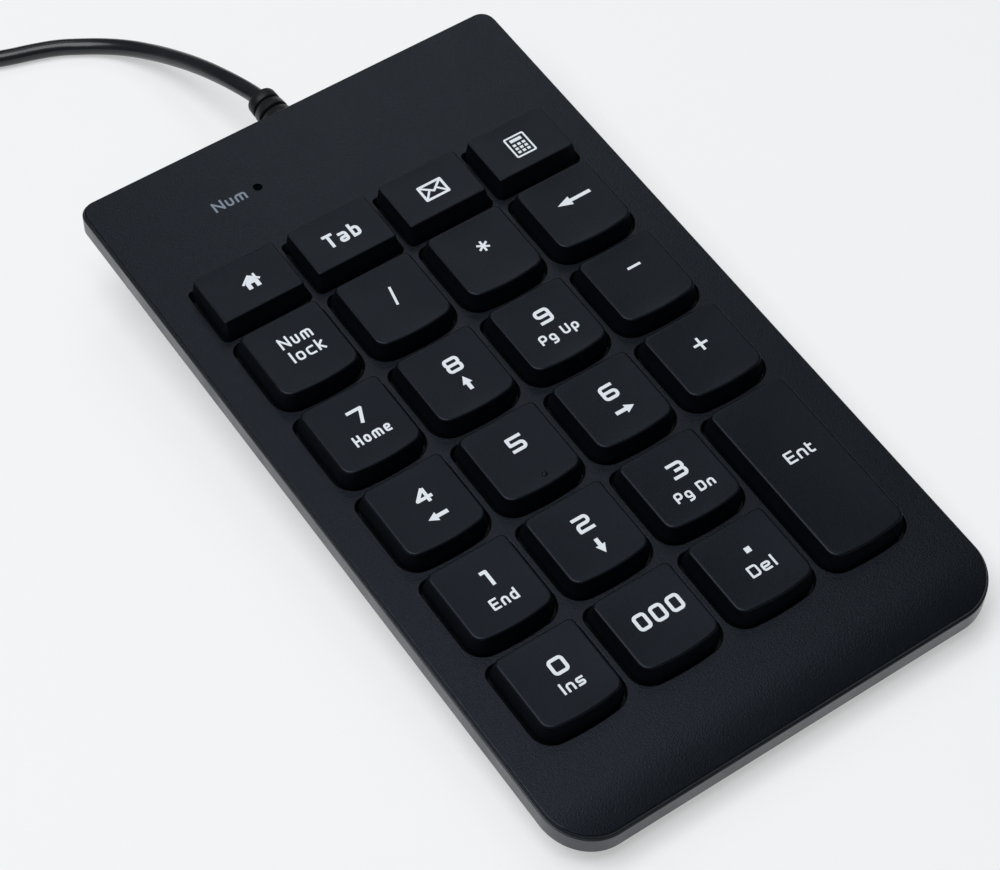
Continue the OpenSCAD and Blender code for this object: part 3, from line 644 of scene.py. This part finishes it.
def make_deck_shell():
    """The top case: a thin deck with a rounded edge, rolled front and 23 wells, its lip and bosses."""
    under = -DECK_T + OVERLAP
    slab = [plan(BAND_WALL + 0.1, -DECK_T), plan(BAND_WALL + 0.1, -FLANGE_T), plan(REVEAL_INSET, -FLANGE_T)]
    slab += fillet(REVEAL_INSET, 0, 0.35, 1)
    piece = mesh_object("deck_shell", loft(slab, caps="ladder"), deck, "deck_plastic")
    lip = loft([
        plan(LIP_INSET, -LIP_DEPTH), plan(LIP_INSET, under),
        plan(LIP_INSET + LIP_T, under), plan(LIP_INSET + LIP_T, -LIP_DEPTH),
    ], caps="ring")
    seat = box((-FRAME_HALF_W, FRAME_FRONT_Y, -WELL_DEPTH), (FRAME_HALF_W, FRAME_REAR_Y, under))
    combine(piece, joined([lip, seat]), "UNION")
    bosses = [cylinder(x, y, BOSS_R, z, under) for x, y, z in CASE_SCREWS]
    bosses += [cylinder(x, y, BOSS_R, CLAMP_BOSS_END_Z, under) for x, y in CLAMP_SCREWS]
    combine(piece, joined(bosses), "UNION")
    cuts = [well_cutter(name) for name in KEYS] + [hole(*LAMP_XY, LAMP_HOLE_R)]
    cuts += [cylinder(x, y, SCREW_R, z - 1, z + BITE + 0.2) for x, y, z in CASE_SCREWS]
    cuts += [cylinder(x, y, CLAMP_SCREW_R, CLAMP_BOSS_END_Z - 1, -2) for x, y in CLAMP_SCREWS]
    combine(piece, joined(cuts), "DIFFERENCE")
    finish_moulding(piece)
    return show(piece, "case", "deck_plastic", "top_case")


def floor_loop(inset, z):
    flat = half_outline(
        FLOOR_HALF_W - inset, FLOOR_FRONT_Y + inset, FLOOR_REAR_Y - inset, 8 - inset, 5 - inset,
        FLOOR_FRONT_Y + 9,
    )
    return at_height(flat, z)


def drilled(x, y, r, low, high, n=32):
    """A deck cylinder, in the frame's coordinates."""
    points, faces = cylinder(x, y, r, low, high, n)
    return deck(points), faces


def along_exit(r, from_y, to_y):
    return loft([deck(loop) for loop in lathe([(r, from_y), (r, to_y)], axis_z=RELIEF_Z)])


def make_hull():
    """The bottom case: an edge band, a tapering hull, a flat floor with recesses, the screws' pillars."""
    edge = 0.9
    turn = np.radians(np.linspace(0, 90, 6))
    sides = [floor_loop(edge * (1 - math.sin(a)), FLOOR_Z + edge * (1 - math.cos(a))) for a in turn]
    sides += [deck(plan(SHELL_INSET, -BAND_H - drop, False)) for drop in (SHELL_INSET, 0.6)]
    piece = mesh_object("hull", loft(sides, caps="ladder"), None, "shell_plastic")
    low = -BAND_TOP - BAND_H
    band = [plan(BAND_WALL, low), *fillet(0, low, 0.3, -1), *fillet(0, -BAND_TOP, 0.15, 1),
            plan(BAND_WALL, -BAND_TOP)]
    combine(piece, loft(band, caps="ladder"), "UNION")
    step = [plan(BAND_STEP, -2 * BAND_TOP), plan(BAND_STEP, -FLANGE_T)]
    combine(piece, loft(step, caps="ladder"), "UNION")
    inner = SHELL_INSET + SHELL_T
    hollow = [floor_loop(SHELL_T + 0.2, FLOOR_Z + SHELL_T)]
    hollow += [deck(plan(inner, -LIP_DEPTH - drop, False)) for drop in (0.3, 0.1)]
    combine(piece, loft(hollow, caps="ladder"), "DIFFERENCE", None)
    mouth = [plan(BAND_WALL, -LIP_DEPTH - 0.2), plan(BAND_WALL, 2)]
    combine(piece, loft(mouth, caps="ladder"), "DIFFERENCE")

    def floor_mid(y):
        return (FLOOR_Z + SHELL_T / 2 - DECK_HEIGHT - y * math.sin(TILT)) / math.cos(TILT)

    pillars = [cylinder(x, y, PILLAR_R, floor_mid(y), z) for x, y, z in CASE_SCREWS]
    half_w, depth, half_h = EXIT_BLOCK[0] / 2, EXIT_BLOCK[1], EXIT_BLOCK[2] / 2
    block = box((-half_w, EXIT_FACE_Y - depth, RELIEF_Z - half_h), (half_w, EXIT_FACE_Y, RELIEF_Z + half_h))
    combine(piece, joined(pillars + [block]), "UNION")
    holes = [drilled(x, y, SCREW_R + 0.2, z - SHELF - 0.5, z + 1) for x, y, z in CASE_SCREWS]
    holes.append(along_exit(RELIEF_R, EXIT_FACE_Y - depth - 2, EXIT_FACE_Y + 1))
    for x, y in FEET:
        holes.append(cylinder(x, y, FOOT_R, 0, FLOOR_Z + FOOT_SUNK, 48))
    combine(piece, joined(holes), "DIFFERENCE", None)
    recesses = [drilled(x, y, HEAD_R + 0.3, -20, z - SHELF, 48) for x, y, z in CASE_SCREWS]
    recesses.append(along_exit(RELIEF_COLLAR_R + 0.1, EXIT_FACE_Y - depth - 4, EXIT_FACE_Y - depth))
    combine(piece, joined(recesses), "DIFFERENCE", None)
    finish_moulding(piece)
    return show(piece, "case", "shell_plastic", "bottom_case")


make_deck_shell()
make_hull()


# ---- Keycaps ----

DISH = 0.16       # depth of the hollow in a cap's top
EDGE_R = 0.32


def top_height(name, x, y):
    """Height of a cap's slightly hollow top, at a place measured from the key's centre."""
    w, d, middle, depth = TOP_W, TOP_D + extra_depth(name), 0, DISH
    if is_small(name):
        w, d, middle, depth = SMALL_TOP_W, SMALL_TOP_D, SMALL_SHIFT, DISH / 2
    u = np.clip(np.abs(x) / (w / 2 - EDGE_R), 0, 1)
    v = np.clip(np.abs(np.asarray(y) - middle) / (d / 2 - EDGE_R), 0, 1)
    return KEY_RISE - depth * (1 - u ** 2) * (1 - v ** 4)


def cap_outlines(name):
    """Functions of the inset that give a cap's outline at its base and at its top."""
    if is_small(name):
        w, d = WELL_W - 2 * KEY_GAP, SMALL_WELL_D - 2 * KEY_GAP
        return (
            lambda i: outline(w - 2 * i, d - 2 * i, max(0.6 - i, 0.2), max(0.9 - i, 0.2), n=5, edge_n=10),
            lambda i: outline(SMALL_TOP_W - 2 * i, SMALL_TOP_D - 2 * i, max(0.5 - i, 0.12),
                              max(0.5 - i, 0.12), n=5, edge_n=10) + (0, SMALL_SHIFT),
        )
    extra = extra_depth(name)
    w, d = WELL_W - 2 * KEY_GAP, WELL_D - 2 * KEY_GAP + extra
    return (
        lambda i: outline(w - 2 * i, d - 2 * i, 1.6 - i / 2, 3.6 - i, KEY_BOW, n=8, edge_n=12),
        lambda i: outline(TOP_W - 2 * i, TOP_D + extra - 2 * i, 1 - i * 0.5, 2 - i * 0.8, KEY_BOW,
                          n=8, edge_n=12),
    )


def make_cap(name):
    """A hollow cap: a short skirt, tapering sides, a rounded top edge, a dish and a collared stem."""
    x, y = key_place(*KEYS[name])
    base, top = cap_outlines(name)
    edge = EDGE_R * (0.6 if is_small(name) else 1)
    taper = KEY_RISE - edge

    def side(z):
        """The outside between the deck and the top edge's radius."""
        k = z / KEY_RISE
        return base(0) * (1 - k) + top(0) * k

    loops = [at_height(base(CAP_T), SKIRT_Z), at_height(base(0.12), SKIRT_Z),
             at_height(base(0), SKIRT_Z + 0.12), at_height(base(0), 0)]
    loops += [at_height(side(z), z) for z in (taper * 0.35, taper * 0.7, taper)]
    for a in np.radians((15, 30, 45, 60, 75, 90)):
        blend = side(taper) * math.cos(a) + top(edge) * (1 - math.cos(a))
        loops.append(at_height(blend, taper + edge * math.sin(a)))
    inner = top(edge)
    middle = np.array([0, SMALL_SHIFT if is_small(name) else 0])
    for k in (0.97, 0.92, 0.84, 0.72, 0.58, 0.44, 0.3, 0.16):
        ring = middle + (inner - middle) * k
        loops.append(at_height(ring, top_height(name, ring[:, 0], ring[:, 1])))
    outside = domed(loops, (*middle, float(top_height(name, *middle))))
    under = [at_height(base(CAP_T), SKIRT_Z), at_height(base(CAP_T), 0),
             at_height(top(CAP_T), KEY_RISE - CAP_T)]
    inside = domed(under, (*middle, KEY_RISE - CAP_T))
    stem = loft([
        at_height(arc(0, 0, r, 0, 360, 32)[:-1], z)
        for r, z in ((COLLAR_R - 0.2, STEM_END_Z), (COLLAR_R, STEM_END_Z + 0.2), (COLLAR_R, COLLAR_Z),
                     (STEM_R, COLLAR_Z), (STEM_R, KEY_RISE - CAP_T + OVERLAP))
    ])
    parts = [outside, inside, stem]
    if name == "5":
        parts.append(homing_bar())
    if name == "enter":
        parts += wire_hooks()
    cap, cap_faces = joined(parts)
    piece = mesh_object("keycap_" + name, (cap + (x, y, 0), cap_faces), deck, "key_plastic", smooth=None)
    clean(piece.data, 1e-7)
    shade(piece.data, EDGE_ANGLE)
    return show(piece, "cap_" + name, "key_plastic", "key_" + name)


def homing_bar():
    """The low bar near the front of the middle key."""
    x, y = 0.8, -5.6
    z = float(top_height("5", x, y))
    return domed(
        [at_height(outline(w, d, d / 2 - 0.01, d / 2 - 0.01, n=5, edge_n=2) + (x, y), z + h)
         for w, d, h in ((1.0, 0.9, -0.3), (1.0, 0.9, 0.02), (0.92, 0.8, 0.12), (0.7, 0.55, 0.2))],
        (x, y, z + 0.22),
    )


def wire_hooks():
    """Two slotted hooks under the enter key, which hold the stabiliser's bar."""
    bar_x, bar_z = WIRE_BAR[0] - 1.5 * PITCH, WIRE_BAR[1]
    half_y, low, high = 0.7, bar_z - 0.8, KEY_RISE - CAP_T + OVERLAP
    # Two cheeks beside the bar, a lip below it and a bridge above it, as x and z ranges
    walls = [(-1, -0.65, low, high), (0.65, 1, low, high),
             (-0.66, 0.66, low, bar_z - 0.55), (-0.66, 0.66, bar_z + 0.55, high)]
    return [box((bar_x + x_low, y - half_y, z_low), (bar_x + x_high, y + half_y, z_high))
            for y in (-9, 9) for x_low, x_high, z_low, z_high in walls]


for key in KEYS:
    make_cap(key)

# ---- Legends ----

THIN, BOLD = 0.4, 0.63


def stroke(points, width, radius=0.0, closed=False):
    """Polygons that cover a line of that width, turning its corners on arcs of that radius, or of a
    point's own third value."""
    p = [np.array(q[:2], float) for q in points]
    radii = [q[2] if len(q) > 2 else radius for q in points]
    count = len(p)
    half = width / 2
    legs = count if closed else count - 1
    ways = [(p[(i + 1) % count] - p[i]) / np.linalg.norm(p[(i + 1) % count] - p[i]) for i in range(legs)]
    cuts, polygons = np.zeros(count), []
    for i in range(count):
        if not closed and i in (0, count - 1):
            continue
        u, v = ways[i - 1], ways[i % legs]
        cross, dot = u[0] * v[1] - u[1] * v[0], float(np.clip(u @ v, -1, 1))
        turn = math.acos(dot)
        side, r = 1 if cross > 0 else -1, radii[i]
        cuts[i] = r * math.tan(turn / 2)
        centre = p[i] - u * cuts[i] + side * r * np.array([-u[1], u[0]])
        start = -side * np.array([-u[1], u[0]])
        angle = math.atan2(start[1], start[0])
        steps = max(2, math.ceil(turn / math.radians(16)))
        rays = [(math.cos(angle + side * turn * k / steps), math.sin(angle + side * turn * k / steps))
                for k in range(steps + 1)]
        outer = [centre + np.array(ray) * (r + half) for ray in rays]
        inner = [centre + np.array(ray) * (r - half) for ray in reversed(rays)] if r > half else [centre]
        polygons.append(outer + inner)
    for i in range(legs):
        a, b = p[i] + ways[i] * cuts[i], p[(i + 1) % count] - ways[i] * cuts[(i + 1) % count]
        if (b - a) @ ways[i] > 1e-6:
            n = np.array([-ways[i][1], ways[i][0]]) * half
            polygons.append([a - n, b - n, b + n, a + n])
    return polygons


def glyph(letter, w, h, t):
    """Outlines of a character of that width, cap height and stroke, in squarish letterforms.
    Small letters stand 0.74 of the cap height."""
    e = t / 2
    left, right, low, top, mid = e, w - e, e, h - e, h / 2
    x_top = h * 0.74 - e
    waist = x_top * 0.55
    r = min(0.32 * w, 0.62 * t + 0.16)

    def bent(*points, scale=1.0):
        return points, r * scale, False

    def closed(*points, scale=1.0):
        return points, r * scale, True

    def sharp(*points):
        return points, 0, False

    lines = {
        "0": [closed((left, low), (right, low), (right, top), (left, top))],
        "1": [sharp((0, top), (right, top), (right, 0))],
        "2": [bent((0, top), (right, top), (right, mid), (left, mid), (left, low, 0), (w, low))],
        "3": [bent((0, top), (right, top), (right, mid), (w * 0.3, mid)),
              bent((w * 0.3, mid), (right, mid), (right, low), (0, low))],
        "4": [sharp((w * 0.7, 0), (w * 0.7, top)),
              sharp((w, h * 0.3), (left * 0.8, h * 0.3), (w * 0.7, top))],
        "5": [bent((w, top), (left, top, 0), (left, mid, 0), (right, mid), (right, low), (0, low))],
        "6": [bent((w * 0.94, top), (left, top), (left, low), (right, low), (right, mid), (left, mid))],
        "7": [sharp((0, top), (right, top), (w * 0.5, 0))],
        "8": [closed((left, low), (right, low), (right, mid), (left, mid), scale=0.9),
              closed((left, mid), (right, mid), (right, top), (left, top), scale=0.9)],
        "9": [bent((w * 0.06, low), (right, low), (right, top), (left, top), (left, mid), (right, mid))],
        "N": [sharp((left, 0), (left, top), (right, low), (right, h))],
        "u": [bent((left, x_top + e), (left, low), (right, low), (right, x_top + e))],
        "m": [bent((left, 0), (left, x_top), (right, x_top), (right, 0)), sharp((w / 2, 0), (w / 2, x_top))],
        "l": [sharp((w / 2, 0), (w / 2, h))],
        "o": [closed((left, low), (right, low), (right, x_top), (left, x_top))],
        "c": [bent((w, x_top), (left, x_top), (left, low), (w, low))],
        "k": [sharp((left, 0), (left, h)), sharp((left, x_top * 0.5 + e * 0.4), (right, x_top + e)),
              sharp((left + t * 0.5, x_top * 0.5 + e), (right, 0))],
        "H": [sharp((left, 0), (left, h)), sharp((right, 0), (right, h)), sharp((left, mid), (right, mid))],
        "e": [bent((w * 0.96, low), (left, low), (left, x_top), (right, x_top), (right, waist),
                   (left, waist), scale=0.8)],
        "P": [bent((left, 0), (left, top), (right, top), (right, h * 0.38), (left, h * 0.38))],
        "g": [bent((right, low), (left, low), (left, x_top), (right, x_top), (right, -h * 0.24),
                   (w * 0.1, -h * 0.24))],
        "U": [bent((left, h), (left, low), (right, low), (right, h))],
        "p": [bent((left, -h * 0.28), (left, x_top), (right, x_top), (right, low), (left, low))],
        "E": [sharp((w, top), (left, top), (left, low), (w, low)), sharp((left, mid), (w * 0.92, mid))],
        "n": [bent((left, 0), (left, x_top), (right, x_top), (right, 0))],
        "d": [bent((right, x_top), (left, x_top), (left, low), (right, low)), sharp((right, 0), (right, h))],
        "b": [bent((left, x_top), (right, x_top), (right, low), (left, low)), sharp((left, 0), (left, h))],
        "D": [closed((left, low, 0), (right, low), (right, top), (left, top, 0))],
        "t": [bent((left, h * 0.95), (left, low), (w, low)), sharp((0, x_top), (w, x_top))],
        "I": [sharp((w / 2, 0), (w / 2, h))],
        "s": [bent((w, x_top), (left, x_top), (left, waist), (right, waist), (right, low), (0, low),
                   scale=0.6)],
        "T": [sharp((0, top), (w, top)), sharp((w / 2, 0), (w / 2, top))],
        "a": [bent((w * 0.06, x_top), (right, x_top), (right, low), (left, low), (left, waist),
                   (right, waist), scale=0.7)],
    }
    return [polygon for line in lines[letter] for polygon in stroke(line[0], t, line[1], line[2])]


# Widths as shares of a capital's; other small letters take SMALL_SHARE
WIDTH_SHARE = {"I": 0.3, "l": 0.3, "t": 0.6, "m": 1.4, " ": 0.35, "1": 0.7, "N": 1.3}
SMALL_SHARE, LETTER_GAP = 0.9, 0.2


def word(text, x, y, width, h, t=THIN):
    """A word centred at x, y, as wide as given."""
    shares = [WIDTH_SHARE.get(c, 1 if c.isupper() or c.isdigit() else SMALL_SHARE) for c in text]
    gap = LETTER_GAP * h if len(text) > 1 else 0
    unit = (width - gap * (len(text) - 1)) / sum(shares)
    polygons, at = [], x - width / 2
    for c, share in zip(text, shares):
        if c != " ":
            drawn = glyph(c, share * unit, h, t)
            polygons += [[(px + at, py + y - h / 2) for px, py in polygon] for polygon in drawn]
        at += share * unit + gap
    return polygons


def placed(polygons, x, y, turn=0, size=1.0):
    c, s = size * math.cos(math.radians(turn)), size * math.sin(math.radians(turn))
    return [[(x + px * c - py * s, y + px * s + py * c) for px, py in polygon] for polygon in polygons]


def arrow(x, y, turn, length=3.4, head=1.7, spread=1.85, shaft=0.75):
    """An arrow centred at x, y; turn 0 points right."""
    tip, neck, tail = length / 2, length / 2 - head, -length / 2
    join, half = neck + 0.01, shaft / 2
    return placed([[(neck, -spread / 2), (tip, 0), (neck, spread / 2)],
                   [(tail, -half), (join, -half), (join, half), (tail, half)]], x, y, turn)


def house(x, y):
    return placed([
        [(-2.1, 0.05), (0, 1.75), (2.1, 0.05), (1.75, -0.3), (0, 1.1), (-1.75, -0.3)],
        [(-1.4, -0.1), (0, 1.15), (1.4, -0.1), (1.4, -0.5), (-1.4, -0.5)],
        [(-1.4, -0.5), (-0.45, -0.5), (-0.45, -1.7), (-1.4, -1.7)],
        [(0.45, -0.5), (1.4, -0.5), (1.4, -1.7), (0.45, -1.7)],
        [(0.95, 0.9), (1.45, 0.5), (1.45, 1.6), (0.95, 1.6)],
    ], x, y, size=0.88)


def envelope(x, y):
    w, h = 2.3, 1.6
    lines = stroke([(-w, -h), (w, -h), (w, h), (-w, h)], 0.5, 0.05, True)
    lines += stroke([(-w, h), (0, -0.25), (w, h)], 0.44)
    lines += stroke([(-w, -h), (-0.75, 0.15)], 0.4) + stroke([(w, -h), (0.75, 0.15)], 0.4)
    return placed(lines, x, y)


def calculator(x, y):
    w, h = 1.95, 2.3
    lines = stroke([(-w, -h), (w, -h), (w, h), (-w, h)], 0.36, 0.2, True)
    lines += stroke([(-1.2, 1.4), (1.2, 1.4)], 0.7)
    for row in range(3):
        for column in range(3):
            start, level = -1.3 + column * 0.98, 0.3 - row * 0.85
            lines += stroke([(start, level), (start + 0.64, level)], 0.55)
    return placed(lines, x, y)


def asterisk(x, y):
    lines, size = [], 1.2
    for angle in (90, 210, 330):
        a = math.radians(angle)
        for reach in (a, a + math.pi):
            lines += stroke([(0, 0), (size * math.cos(reach), size * math.sin(reach))], 0.42)
    return placed(lines, x, y)


def digit(text, x, y, width=3.05, height=3.2):
    return word(text, x, y, width, height, BOLD)


LEGENDS = {
    "home": house(0.55, 0.45),
    "tab": word("Tab", 0.05, 0.4, 6.9, 3.1, 0.6),
    "mail": envelope(0.1, 0.2),
    "calculator": calculator(-0.2, 0.3),
    "num_lock": word("Num", 0.4, 2.6, 6.2, 2.5) + word("lock", 0.8, -0.8, 6.6, 2.5),
    "divide": stroke([(-0.1, -1.15), (0.7, 2.85)], 0.46),
    "multiply": asterisk(0.3, 1.35),
    "backspace": arrow(0.7, 1.35, 180, 7, 2.8, 2.0, 0.7),
    "7": digit("7", 0.45, 2.1) + word("Home", 0.5, -2.2, 7.0, 2.2),
    "8": digit("8", 0.6, 2.1) + arrow(0.6, -2.25, 90, 3.1),
    "9": digit("9", 0.3, 2.1) + word("Pg Up", 0.5, -2.15, 7.8, 2.0),
    "minus": stroke([(-0.65, 2.35), (2.05, 2.35)], 0.5),
    "4": digit("4", 0.6, 2.0) + arrow(0.65, -2.65, 180, 3.8),
    "5": digit("5", 0.4, 2.0),
    "6": digit("6", 0.3, 2.0) + arrow(0.55, -2.35, 0, 3.7),
    "plus": stroke([(-1.1, 1.55), (1.7, 1.55)], 0.5) + stroke([(0.3, 0.15), (0.3, 2.95)], 0.5),
    "1": digit("1", 0.5, 2.0, 1.4) + word("End", 0.55, -2.65, 5.0, 2.2),
    "2": digit("2", 0.4, 2.0) + arrow(0.4, -3.0, 270, 3.1),
    "3": digit("3", 0.6, 2.0) + word("Pg Dn", 0.6, -2.65, 7.8, 2.0),
    "enter": word("Ent", 0.55, 3.05, 5.5, 2.4),
    "0": digit("0", 0.7, 1.6) + word("Ins", 0.65, -2.35, 4.3, 2.2),
    "triple_zero": digit("000", 0.7, 0.65, 9.1, 3.3),
    "decimal": stroke([(0.25, 2.15), (1.35, 2.15)], 1.1) + word("Del", 0.8, -1.65, 5.2, 2.3),
}
INK_T = 0.02


def print_solid(polygons, height):
    """A thin solid that covers the union of flat polygons and follows a surface."""
    points, faces = [], []
    for polygon in polygons:
        flat = [Vector(q) for q in polygon]
        area = sum(a.x * b.y - a.y * b.x for a, b in zip(flat, flat[1:] + flat[:1]))
        base = len(points)
        order = range(base, base + len(flat)) if area > 0 else range(base + len(flat) - 1, base - 1, -1)
        points += flat
        faces.append(list(order))
    verts, _, triangles, _, _, origins = delaunay_2d_cdt(points, [], faces, 1, 1e-4)
    triangles = [t for t, origin in zip(triangles, origins) if origin]
    flat = np.array([(v.x, v.y) for v in verts])
    z = height(flat[:, 0], flat[:, 1])
    n = len(flat)
    solid = [tuple(t) for t in triangles] + [tuple(n + i for i in reversed(t)) for t in triangles]
    edges = dict.fromkeys(edge for t in triangles for edge in zip(t, list(t[1:]) + [t[0]]))
    solid += [(b, a, n + a, n + b) for a, b in edges if (b, a) not in edges]
    top, low = at_height(flat, z + INK_T), at_height(flat, z - INK_T)
    used = sorted({i for face in solid for i in face})
    index = {old: new for new, old in enumerate(used)}
    return np.vstack([top, low])[used], [tuple(index[i] for i in face) for face in solid]


def make_legend(name):
    x, y = key_place(*KEYS[name])
    points, faces = print_solid(LEGENDS[name], lambda u, v: top_height(name, u, v))
    piece = mesh_object("legend_" + name, (points + (x, y, 0), faces), deck, "legend_print", smooth=30)
    return show(piece, "cap_" + name, "legend_print")


for key in KEYS:
    make_legend(key)

lamp_words = print_solid(word("Num", -20.5, LAMP_XY[1], 6.6, 2.3, 0.4), lambda u, v: np.zeros_like(u))
show(mesh_object("lamp_legend", lamp_words, deck, "deck_print", smooth=30), "case", "deck_print")


# ---- Dome sheet, feet, label ----

def make_feet():
    """Four rubber discs with a rounded edge and a shallow ring in the sole."""
    parts = []
    profile = [(0.9, 0.12), (1.2, 0.0), (FOOT_R - 0.55, 0.0), (FOOT_R - 0.16, 0.16), (FOOT_R - 0.02, 0.5),
               (FOOT_R - 0.02, FOOT_T - 0.02)]
    for x, y in FEET:
        points, faces = loft(lathe(profile))
        parts.append((points + (x, y, 0), faces))
    feet = mesh_object("feet", joined(parts), None, "foot_rubber")
    return show(feet, "case", "foot_rubber", "rubber_feet")


def make_label():
    """A blank sticker with rounded corners."""
    w, d, t = 40, 22, 0.15
    low = FLOOR_Z - t
    loops = [at_height(outline(w - 2 * i, d - 2 * i, 2 - i, 2 - i, n=8, edge_n=1) + (0, d / 2), z)
             for i, z in ((0.05, FLOOR_Z), (0, FLOOR_Z - 0.02), (0, low + 0.04), (0.05, low))]
    label = mesh_object("label", loft(loops), None, "label_film")
    return show(label, "case", "label_film", "rating_label")


def make_dome_sheet():
    """The silicone sheet with its holes, and one dome for each key under the key's stem, in its shape before
    a press collapses it.
    """
    low, high = SHEET_Z - SHEET_T, SHEET_Z
    slab = box((-SHEET_HALF_W, SHEET_FRONT_Y, low), (SHEET_HALF_W, SHEET_REAR_Y, high))
    sheet = mesh_object("silicone_sheet", slab, deck, "silicone")
    holes = [(*key_place(*KEYS[key]), DOME_HOLE_R) for key in KEYS]
    holes += [(x, y, SHEET_SCREW_R) for x, y in FRAME_SCREWS]
    holes += [(x, y, BOSS_R + 0.3) for x, y, _ in CASE_SCREWS if abs(y) < 10]
    combine(sheet, joined([cylinder(x, y, r, low - 1, high + 1) for x, y, r in holes]), "DIFFERENCE")
    show(sheet, "case", "silicone", "dome_sheet")
    profile = [(1.7, DOME_H - 0.8), (3.38, 0), (4.12, 0), (4.2, 0.08), (4.18, 0.24), (4.06, 0.34),
               (2.44, DOME_H - 0.62), (2.4, DOME_H - 0.5), (2.4, DOME_H - 0.06), (2.34, DOME_H)]
    for key in KEYS:
        x, y = key_place(*KEYS[key])
        points, faces = loft(lathe(profile))
        dome = mesh_object("dome_" + key, (points + (x, y, SHEET_Z), faces), deck, "silicone")
        show(dome, "case", "silicone", "dome_sheet")
        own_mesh(dome)


make_dome_sheet()
make_feet()
make_label()

# CAD pieces that stay, with a small bevel
EDGE_BEVELS = {"case_screws": 0.12, "plug_shell": 0.1, "plug_contacts": 0.04, "tail_clamp": 0.2}
for name, width in EDGE_BEVELS.items():
    bevel = frame["nodes"][name].modifiers.new("edges", "BEVEL")
    bevel.width, bevel.segments, bevel.limit_method = width * MM, 2, "ANGLE"


# ---- Floor and lights ----

# The floor is lit from below as well, as on a product table, which keeps the shadows faint
FLOOR_GLOW = 0.43
FLOOR_REACH = 6     # metres
FLOOR_DROP = 0.05
LIGHT_COLOUR = (0.93, 0.97, 1.0)
WORLD_STRENGTH = 0.08


def make_floor():
    z, reach = -FLOOR_DROP * MM, FLOOR_REACH
    mesh = bpy.data.meshes.new("floor")
    corners = [(-reach, -reach, z), (reach, -reach, z), (reach, reach, z), (-reach, reach, z)]
    mesh.from_pydata(corners, [], [(0, 1, 2, 3)])
    mesh.materials.append(material(
        "floor_white", (0.55, 0.55, 0.55), 0.7, grain=3, relief=0.002, mottle=0.004,
        Emission_Color=(1, 1, 1, 1), Emission_Strength=FLOOR_GLOW,
    ))
    new_object("floor", mesh)


def area_light(name, place, size, power):
    """A square light that faces the origin; its place and size are in metres."""
    data = bpy.data.lights.new(name, "AREA")
    data.shape, data.size, data.energy, data.color = "SQUARE", size, power, LIGHT_COLOUR
    light = new_object(name, data)
    light.location = place
    light.rotation_euler = (-Vector(place)).to_track_quat("-Z", "Y").to_euler()


make_floor()
area_light("overhead", (-0.4, 0.05, 1.35), 1.1, 17)
area_light("rear", (0.5, 0.78, 0.98), 0.45, 1.3)
area_light("right", (0.38, 0.24, 1.3), 0.4, 0.9)
world = bpy.data.worlds.new("world")
world.use_nodes = True
put(world.node_tree.nodes["Background"], Color=(1, 1, 1, 1), Strength=WORLD_STRENGTH)
bpy.context.scene.world = world
bpy.context.scene.view_settings.view_transform = "Standard"
